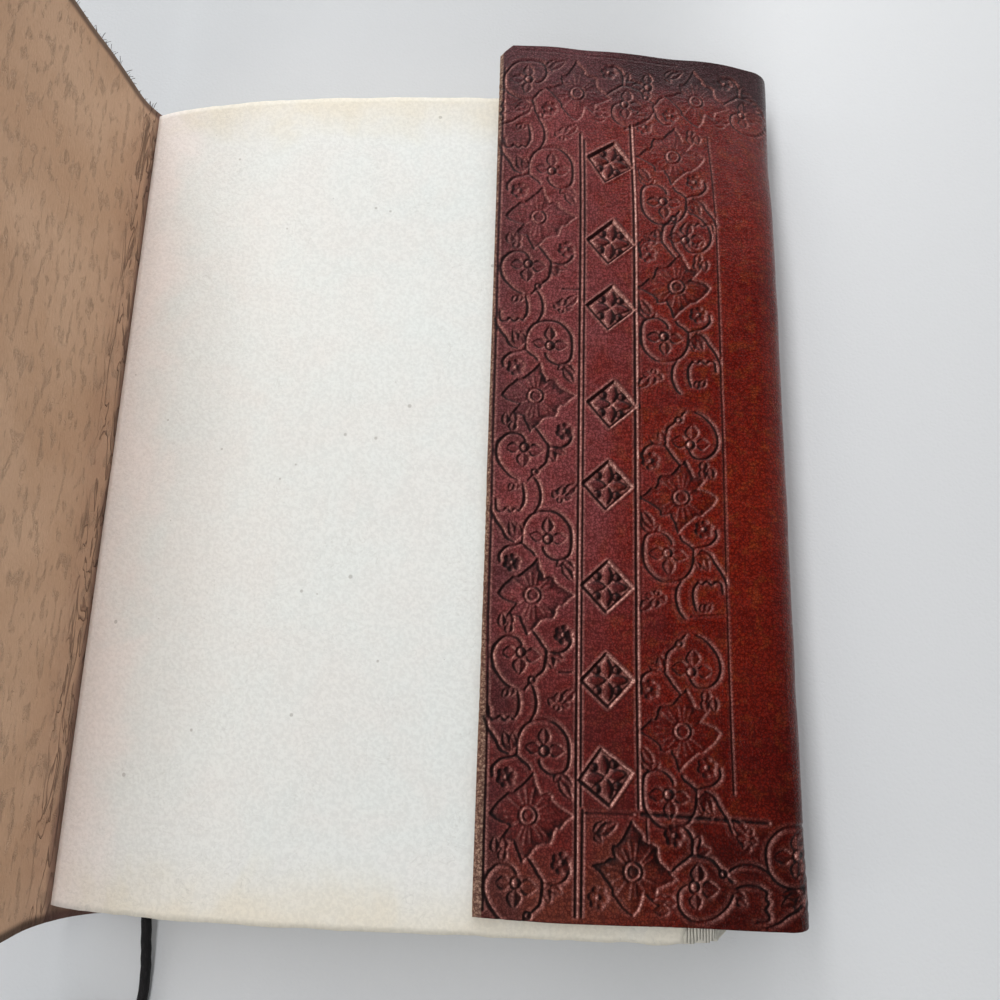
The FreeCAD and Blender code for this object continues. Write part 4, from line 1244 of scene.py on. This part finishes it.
def leaf(pressing, start, end, width, strength, proud=False):
    """A pointed leaf or petal: pressed in, deepest at its outline, with a ridge down its middle.
    A proud one stands up from the ground instead."""
    area, run, along = pressing.window([start, end], width)
    dx, dy = end[0] - start[0], end[1] - start[1]
    length = math.hypot(dx, dy)
    t = ((run - start[0]) * dx + (along - start[1]) * dy) / length ** 2
    side = ((along - start[1]) * dx - (run - start[0]) * dy) / length
    inner = np.clip(t, 0, 1)
    shape = np.sin(math.pi * inner) ** 0.7 if proud else np.sin(math.pi * inner ** 0.75)
    share = np.clip(np.abs(side) / np.maximum(0.5 * width * shape, 1e-3), 0, 4)
    within = (t > 0) * (t < 1) * (share < 1)
    if proud:
        form = (0.85 * dome(share) + 0.15 * np.clip(1 - share, 0, 1)) * within
        pressing.keep(area, strength * form, 0.0, within * (0.34 + 0.50 * np.clip(share - 0.6, 0, 1) / 0.4))
        return
    rim = 0.25 + 0.70 * np.clip(share - 0.55, 0, 1) / 0.45
    pressing.keep(area, 0.30 * strength * bell(side, 0.30) * within,
                  strength * within * (0.30 + 0.70 * share ** 1.5),
                  within * min(1.0, 0.2 + 0.8 * strength) * rim)


def boss(pressing, centre, radius, strength, dye=0.5):
    """A round knob inside a pressed ring."""
    area, gap = pressing.about(centre, radius + 2)
    ring = bell(gap - radius - 0.15, 0.35)
    pressing.keep(area, strength * dome(gap / radius), strength * ring,
                  strength * np.maximum(ring, dye * (gap < radius)))


def bowl(pressing, centre, radius, strength):
    """A round hollow left by a domed tool."""
    area, gap = pressing.about(centre, radius + 1)
    pressing.keep(area, 0.0, strength * dome(gap / radius), 0.50 * strength * (gap < radius))


def star_field(pressing, corners, centre, strength):
    """The flower's outline pressed in with a steep edge; its field rises slowly to the middle."""
    area, run, along = pressing.window(corners, 3.0)
    within = inside(run, along, corners)
    gap, _ = distance_to(run, along, corners + corners[:1])
    edge = np.exp(-(gap / 1.2) ** 1.4)
    lip = (~within) * bell(gap - 0.5, 0.45)
    eye = np.hypot(run - centre[0], along - centre[1]) < 3.6
    mottled = 0.5 + 0.5 * ripple(run, along, seed=71, wave=3.0)
    pressing.keep(area, 0.25 * strength * lip, strength * within * (0.22 + 0.78 * edge),
                  strength * within * (0.24 + 0.50 * edge + 0.22 * mottled + 0.20 * eye))


def ring_boss(pressing, centre, radius, strength):
    """The flower's eye: a raised ring round a dimple, inside a pressed ring."""
    area, gap = pressing.about(centre, radius + 2)
    outer = bell(gap - radius - 0.5, 0.38)
    middle = gap < 0.8 * radius
    dimple = np.clip(1 - (gap / (0.8 * radius)) ** 2, 0, 1)
    pressing.replace(area, gap < radius + 0.9,
                     sunk=strength * np.maximum(0.6 * outer, 0.35 * middle),
                     raised=strength * np.maximum(bell(gap - 0.95 * radius, 0.30), 0.8 * dimple),
                     dye=strength * np.maximum(0.55 * outer, 0.55 * middle))


def crease(pressing, line, width, depth):
    """A line drawn with a creasing tool."""
    area, run, along = pressing.window(line, 2.5)
    gap, _ = distance_to(run, along, line)
    groove = bell(gap, 0.5 * width)
    lip = bell(gap - 0.95 * width, 0.4 * width)
    pressing.keep(area, 0.45 * depth * lip, depth * groove, 0.8 * min(1.0, depth / 0.3) * groove)


def ridge(pressing, line, width, height):
    """A raised vein."""
    area, run, along = pressing.window(line, 1.5)
    form = bell(distance_to(run, along, line)[0], 0.5 * width)
    pressing.keep(area, height * form)
    pressing.dye[area] *= 1 - 0.45 * form


# One repeat of the scroll, as (across, along) from the middle of its star flower.
FLOWER = [(12.0, 0.3), (10.2, -1.0), (8.5, -2.9), (7.6, -2.6), (6.8, -3.8), (6.6, -5.2), (5.9, -6.5),
          (3.8, -6.6), (2.5, -7.0), (1.5, -8.2), (0.7, -9.3), (-0.4, -10.0), (-1.4, -11.3),
          (-2.1, -9.8), (-3.0, -8.0), (-3.7, -6.1), (-5.2, -5.9), (-6.8, -5.2), (-5.7, -3.8),
          (-4.6, -2.5), (-6.8, -1.9), (-8.6, -1.2), (-10.2, 0.2), (-9.4, 1.6), (-8.3, 3.0),
          (-6.8, 4.2), (-5.6, 5.4), (-4.3, 5.4), (-2.3, 7.0), (-0.2, 8.9), (1.2, 10.8),
          (1.6, 9.4), (2.0, 7.5), (3.0, 6.0), (3.2, 4.9), (4.7, 5.5), (6.1, 5.3), (6.2, 4.0),
          (7.7, 2.7), (9.7, 1.5)]
VINES = [
    [(-3.3, 15.1), (-3.2, 17.6), (-2.8, 20.1), (-1.3, 22.6), (0.7, 23.9), (3.2, 24.4), (6.2, 24.1),
     (8.7, 22.3), (10.5, 19.6), (10.9, 16.6), (10.8, 13.6), (10.2, 11.6), (8.7, 10.6), (6.2, 10.3),
     (4.2, 11.3), (3.0, 12.8), (2.8, 13.8)],
    [(-9.7, 9.4), (-9.9, 11.3), (-8.8, 12.9), (-7.3, 13.9), (-5.3, 14.3), (-3.3, 14.8), (-1.8, 13.6),
     (-0.3, 12.6), (0.5, 11.4)],
    [(0.2, -9.9), (1.7, -11.7), (3.2, -13.9), (4.2, -15.4), (4.0, -18.4), (3.5, -20.7), (1.7, -22.4),
     (-0.2, -24.2), (-1.6, -26.0)],
    [(4.2, -15.6), (6.2, -15.7), (8.2, -15.7), (10.0, -14.7), (11.0, -12.9), (10.8, -11.4), (10.2, -10.6)],
    [(-2.6, -13.9), (-3.8, -12.2), (-5.8, -11.6), (-7.8, -11.9), (-9.5, -13.2), (-10.6, -14.9),
     (-11.0, -17.4), (-10.3, -20.4), (-8.8, -22.7), (-6.8, -24.7), (-4.5, -25.9)],
    [(-3.7, 32.4), (-3.0, 29.6), (-3.1, 26.6), (-4.3, 24.4)],
    [(-0.4, 34.6), (1.0, 32.6), (1.8, 29.6), (1.6, 26.6), (0.3, 24.1)],
    [(-12.4, 25.0), (-11.2, 21.8), (-9.2, 18.8), (-8.0, 16.4), (-5.6, 15.2)],
    [(-11.2, 27.5), (-10.9, 24.6), (-9.4, 24.2), (-8.2, 25.0), (-6.8, 24.1), (-5.6, 24.9), (-4.4, 24.4)],
]
# (start, end, width) of the petals and leaves
LEAVES = [
    ((4.0, 18.0), (3.9, 22.8), 2.6), ((2.8, 16.6), (-1.4, 17.4), 2.5), ((5.2, 16.4), (9.7, 16.5), 2.7),
    ((-4.6, -15.9), (-8.5, -16.2), 2.7), ((-1.8, -16.6), (2.7, -16.9), 3.0),
    ((-3.3, -17.6), (-3.4, -22.2), 3.0),
    ((8.4, 10.2), (6.6, 8.1), 1.6), ((8.6, 10.3), (11.9, 7.0), 1.9), ((8.4, 9.2), (11.6, 3.8), 2.2),
    ((6.0, -16.4), (9.3, -17.7), 1.7), ((5.0, -16.6), (6.0, -20.3), 2.0),
    ((-4.7, 15.9), (-7.4, 21.4), 2.5), ((-4.5, 16.4), (-4.6, 21.3), 2.0), ((-5.0, 15.6), (-8.6, 18.0), 1.7),
    ((6.7, 28.9), (4.9, 30.4), 2.0), ((7.6, 29.3), (8.3, 32.2), 2.1), ((9.0, 29.8), (12.4, 33.0), 2.3),
    ((8.6, 28.7), (10.9, 28.4), 1.5), ((7.6, 28.5), (7.0, 26.6), 1.6),
    ((-5.1, 33.0), (-5.9, 30.1), 1.8), ((-6.1, 32.6), (-7.9, 29.8), 1.7),
    ((-6.0, -8.6), (-6.8, -4.9), 2.0), ((-6.9, -11.0), (-6.2, -7.4), 2.0), ((-8.6, -9.2), (-8.8, -4.9), 1.9),
]
ROSETTES = [(-6.2, 9.2), (8.8, -10.8)]
KNOBS = [((4.1, 16.3), 1.15), ((-2.9, -15.9), 1.1), ((0.3, -23.4), 0.7)]
# (direction, reach) of the flower's veins
VEINS = [(78, 5.6), (97, 5.2), (116, 4.6), (8, 5.8), (-9, 5.6), (28, 4.4), (-42, 5.6), (-56, 5.0),
         (-84, 5.2), (-99, 5.6), (-114, 4.8), (172, 5.0), (186, 4.6), (142, 5.6), (-146, 4.8), (48, 4.6)]
# across, along, turn and strength of each repeat on the flap, and where it is cut off
SCROLLS = [(13.2, 70.4, 0, 0.75), (13.4, 11.2, 0, 0.95), (13.8, -48.2, 0, 1.1), (13.7, -106.6, 0, 1.0),
           (13.2, 129.6, 0, 0.6, -33.0, -19.0), (56.7, 93.1, 180, 0.75, -14.0, 33.0),
           (56.1, 47.3, 180, 0.85, -33.0, 33.0), (56.2, -18.9, 180, 0.8, -33.0, 33.0),
           (55.2, -84.0, 180, 0.75, -33.0, 21.0), (41.4, -118.8, 90, 0.95, -26.0, 12.5),
           (100.5, -118.0, 90, 0.8, 4.0, 33.0), (25.7, 114.9, 90, 0.7), (66.3, 115.2, 90, 0.7, -33.0, 19.0)]
# across, along and turn of each diamond
STAMPS = [(36.0, 90.3, -13), (35.8, 62.3, -6), (35.7, 40.2, -5), (36.1, 9.1, -5),
          (34.8, -15.7, -3), (34.7, -45.2, -2), (34.8, -71.1, 2), (34.2, -96.4, 9)]
# start, end, width and depth of each creased line
CREASES = [((2.5, -129.5), (2.4, -95.0), 0.55, 0.24), ((2.4, -95.0), (1.5, -52.0), 0.5, 0.22),
           ((1.5, -52.0), (1.4, 124.0), 0.5, 0.22), ((26.4, -129.5), (26.6, 100.0), 0.6, 0.52),
           ((27.7, -104.0), (27.9, 98.0), 0.45, 0.22), ((43.1, -104.0), (43.3, 104.0), 0.65, 0.50),
           ((44.6, -60.0), (44.5, 104.0), 0.4, 0.08), ((68.3, -100.0), (68.9, 102.0), 0.5, 0.18),
           ((29.0, -105.4), (41.5, -105.4), 0.7, 0.25), ((44.0, -105.2), (62.0, -105.8), 0.9, 0.4),
           ((62.0, -105.8), (77.0, -106.4), 0.8, 0.3), ((28.2, -104.8), (28.0, -129.5), 0.6, 0.3),
           ((45.0, -105.6), (45.2, -112.0), 0.5, 0.2), ((6.0, 129.6), (60.0, 128.8), 0.5, 0.12),
           ((58.2, -53.0), (67.8, -52.0), 0.5, 0.2), ((21.6, -69.3), (25.2, -69.2), 0.5, 0.4),
           ((21.0, 46.2), (26.2, 46.0), 0.5, 0.3)]


def scroll(pressing, across, along, turn, strength, start=-99.0, end=99.0):
    """One repeat of the scroll, turned, with its forms between two places along its own length."""
    cosine, sine = math.cos(math.radians(turn)), math.sin(math.radians(turn))

    def put_at(place):
        return (across + place[0] * cosine - place[1] * sine, along + place[0] * sine + place[1] * cosine)

    def wanted(place):
        return start <= place[1] <= end

    if wanted((0, 0)):
        star_field(pressing, [put_at(corner) for corner in FLOWER], put_at((0, 0)), 0.85 * strength)
        for angle, reach in VEINS:
            ends = [put_at(around((0, 0), distance, angle)) for distance in (2.6, reach + 1.2)]
            ridge(pressing, ends, 0.55, 0.55 * strength)
        ring_boss(pressing, put_at((0, 0)), 1.9, strength)
    for line in VINES:
        if wanted(line[len(line) // 2]):
            vine(pressing, [put_at(place) for place in line], strength)
    for first, last, width in LEAVES:
        if wanted(first):
            leaf(pressing, put_at(first), put_at(last), 1.3 * width, strength)
    for centre, radius in KNOBS:
        if wanted(centre):
            boss(pressing, put_at(centre), radius, strength)
    for middle in filter(wanted, ROSETTES):
        for lobe in range(6):
            bowl(pressing, put_at(around(middle, 1.75, 20 + 60 * lobe)), 1.05, 0.9 * strength)
        boss(pressing, put_at(middle), 0.65, 0.8 * strength, 0.3)


def diamond(pressing, across, along, turn):
    """A square stamp on its point: a sunk field with four petals and four dots standing in it."""
    middle = (across, along)
    quarters = [90 * quarter + turn for quarter in range(4)]
    corners = [around(middle, 7.5, angle) for angle in quarters]
    area, run, high = pressing.window(corners, 2.0)
    within = inside(run, high, corners)
    gap, _ = distance_to(run, high, corners + corners[:1])
    edge = bell(gap - 0.3, 0.32)
    # Painted light and shade on the field's border: the edges towards the far corner get a painted highlight
    # and little stain, the others a painted shade.
    far_corner = np.clip((run - across + high - along) / 8.0, 0, 1)
    painted_edge_highlight = np.clip(1.8 * far_corner - 0.6, 0, 1) * bell(gap - 0.35, 0.32)
    pressing.keep(area, 0.45 * (~within) * bell(gap - 0.35, 0.4))
    pressing.replace(area, within, sunk=0.70 + 0.30 * edge, raised=0.0,
                     dye=(0.95 - 0.75 * far_corner) * edge, worn=painted_edge_highlight)
    for angle in quarters:
        leaf(pressing, around(middle, 0.5, angle), around(middle, 5.6, angle), 2.9, 1.0, proud=True)
        boss(pressing, around(middle, 3.9, angle + 45), 0.85, 0.9, 0.85)


def soften(grid, passes):
    """A small blur, as damp leather rounds what is pressed into it."""
    for _ in range(passes):
        grid = grid.copy()
        grid[1:-1] = 0.25 * grid[:-2] + 0.5 * grid[1:-1] + 0.25 * grid[2:]
        grid[:, 1:-1] = 0.25 * grid[:, :-2] + 0.5 * grid[:, 1:-1] + 0.25 * grid[:, 2:]
    return grid


def press_flap():
    """The flap's heights, stain with painted shade, and wear with painted highlights on the grid, with every
    form drawn.
    """
    pressing, lines, stamped = Pressing(), Pressing(), Pressing()
    for repeat in SCROLLS:
        scroll(pressing, *repeat)
    for start, end, width, depth in CREASES:
        crease(lines, [start, end], width, depth)
    for stamp in STAMPS:
        diamond(stamped, *stamp)
    across = np.arange(RUN_CELLS) * CELL
    run, along = np.meshgrid(across, np.arange(ALONG_CELLS) * CELL - GRID_ALONG, indexing="ij")
    patchy = np.clip(0.72 + 0.38 * ripple(run, along, seed=81, wave=26), 0.30, 1.1)
    pressing.dye = pressing.dye * patchy * (1 - 0.35 * ease(along, 55, 105))

    in_stamp = stamped.sunk > 0.5
    scroll_heights = 0.34 * pressing.raised - 0.50 * pressing.sunk
    heights = np.where(in_stamp, 0.0, scroll_heights + 0.8 * lines.raised - 1.1 * lines.sunk)
    heights = soften(heights + 0.62 * stamped.raised - 0.80 * stamped.sunk, 1)
    dye = np.maximum(np.where(in_stamp, 0.0, np.maximum(pressing.dye, lines.dye)), stamped.dye)
    worn = 0.35 * np.clip((heights - soften(heights, 12)) / 0.22, 0, 1)
    on_petal = in_stamp & (stamped.raised > 0.05)
    worn = np.maximum(worn, 0.80 * soften((in_stamp & ~on_petal & (stamped.dye < 0.3)) * 1.0, 1))
    # Painted light and shade: slopes that face the light from the left get a painted highlight and lose
    # stain, slopes that face away get painted shade, so the far side of every form is darker.
    rise_across, rise_along = np.gradient(heights, CELL)
    faces_light = rise_across + 0.1 * rise_along
    worn = worn + np.where(on_petal, 0.25, 1.5) * np.clip(faces_light - 0.05, 0, 0.8)
    worn = np.clip(np.maximum(worn - 0.5 * dye * (faces_light < 0.1), stamped.worn), 0, 1)
    left = 1 - np.where(on_petal, 0.7, 0.8) * np.clip(1.8 * faces_light, 0, 1)
    dye = np.clip(dye * left + np.where(on_petal, 0.8, 2.0) * np.clip(-faces_light - 0.03, 0, 0.5), 0, 1)
    edge = np.clip(1 - across / 1.5, 0, 1)[:, None]
    return heights - 0.7 * edge ** 1.5, soften(dye, 1), worn


def read_grid(grid, run, along):
    """The grid's value at each place, between its cells."""
    a = np.clip(run / CELL, 0, RUN_CELLS - 1.001)
    b = np.clip((along + GRID_ALONG) / CELL, 0, ALONG_CELLS - 1.001)
    i, j = a.astype(int), b.astype(int)
    a, b = a - i, b - j
    return ((1 - a) * (1 - b) * grid[i, j] + a * (1 - b) * grid[i + 1, j]
            + (1 - a) * b * grid[i, j + 1] + a * b * grid[i + 1, j + 1])


# ---------------------------------------------------------------- pieces
def make_cord():
    cord_line = cord_points()
    cord = twisted_cord("tie_cord_length", cord_line, make_cord_finish())
    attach(cord, BLOCK)
    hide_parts("tie_cord", "tie_cord_coil")
    return cord, cord_line


def between(start, end, step):
    """Even stations from start to end, about a step apart."""
    return np.linspace(start, end, max(2, int(round(abs(end - start) / step)) + 1))


def make_cover():
    skins = [make_leather(), make_suede(), make_cut_edge()]
    grids = press_flap()

    def tooled(run, along):
        return [read_grid(grid, run, along) for grid in grids]

    def tall(step):
        return between(-HALF_HEIGHT, HALF_HEIGHT, step)

    fine = 0.3
    fold = np.concatenate([between(68.6, 84.0, 1.3 * fine), between(84.0, RUN_WALL, 1.3)[1:]])
    panels = [("flap_left_border", between(0.0, 27.05, fine), "fht"),
              ("flap_middle_panel", between(27.05, 43.5, fine), "ht"),
              ("flap_right_border", between(43.5, 68.6, fine), "ht"), ("flap_fold", fold, "ht")]
    pieces = []
    for name, runs, edges in panels:
        piece = leather_sheet(name, runs, tall(fine), skins, edges, tooled, coarse=8)
        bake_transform(piece)
        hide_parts("flap")
        pieces.append(piece)
    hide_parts("fore_edge_wrap")
    back = leather_sheet("back_leather", between(RUN_WALL, RUN_SPINE, 2.4), tall(3.0), skins, "ht")
    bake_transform(back)
    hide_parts("back_cover")
    front = leather_sheet("front_leather", between(RUN_SPINE, RUN_END, 2.0), tall(2.2), skins, "hto")
    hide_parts("front_cover", "back_cover")
    fringe = make_fringe()
    for piece in (front, fringe):
        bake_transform(piece)
    for piece in pieces + [back, front, fringe]:
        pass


def make_pages():
    paper = make_paper()
    leaves = make_leaves(paper)
    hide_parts("page_block")
    for piece in (leaves, make_first_page(paper)):
        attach(piece, BLOCK)


def make_threads():
    sewing = make_sewing(make_thread_finish())
    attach(sewing, BLOCK)
    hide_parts(*[f"sewing_thread_{row + 1}" for row in range(GATHERINGS)])


def make_knot():
    knot = twisted_cord("stopper_knot", knot_points(), bpy.data.materials["black_cord"])
    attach(knot, BLOCK)
    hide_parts("tie_cord_knot")
    return knot


tie_cord, cord_line = make_cord()
cord_length = reach_of(cord_line)[-1]
print("cord length mm", round(float(cord_length), 1))
make_cover()
make_pages()
make_threads()
stopper_knot = make_knot()
(cord_line * MM).tolist()


# ---------------------------------------------------------------- table and light
# name, place, the point it lights, size in metres and watts of each lamp
LAMPS = [("window", (-0.119, 0.20, 0.42), (0.02, 0.20, 0.02), (1.10, 0.10), 1.65),
         ("head_glow", (-0.20, 1.25, 0.50), (0.0, 0.05, 0.0), (1.5, 0.7), 10.5),
         ("side_fill", (0.95, 0.75, 0.55), (0.0, 0.0, 0.05), (1.6, 0.9), 3.5),
         ("tail_fill", (-0.1, -1.1, 0.8), (0.0, 0.0, 0.0), (1.4, 0.8), 2.0),
         ("back_fill", (-1.1, 0.0, 0.5), (-0.1, 0.0, 0.1), (1.2, 0.6), 3.5)]
TABLE_HALF = 3000
TABLE_TOP = -0.05


def soft_lamp(name, place, aim, size, watts):
    """A soft box at a place, turned to the point that it lights."""
    lamp = bpy.data.lights.new(name, "AREA")
    lamp.energy = watts
    lamp.shape = "RECTANGLE"
    lamp.size, lamp.size_y = size
    holder = link(bpy.data.objects.new(name, lamp))
    holder.location = place
    holder.visible_camera = False
    away = Vector(place) - Vector(aim)
    holder.rotation_euler = away.to_track_quat("Z", "Y").to_euler()


def make_stage():
    corners = [(x * TABLE_HALF, y * TABLE_HALF, TABLE_TOP) for x, y in ((-1, -1), (1, -1), (1, 1), (-1, 1))]
    mesh_piece("table_top", corners, [(0, 1, 2, 3)], [make_table_finish()])
    world = bpy.data.worlds.new("studio")
    bpy.context.scene.world = world
    world.use_nodes = True
    world.node_tree.nodes["Background"].inputs["Color"].default_value = (0.97, 0.985, 1.0, 1.0)
    world.node_tree.nodes["Background"].inputs["Strength"].default_value = 0.20
    for lamp in LAMPS:
        soft_lamp(*lamp)


make_stage()
bpy.context.scene.view_settings.view_transform = "Standard"
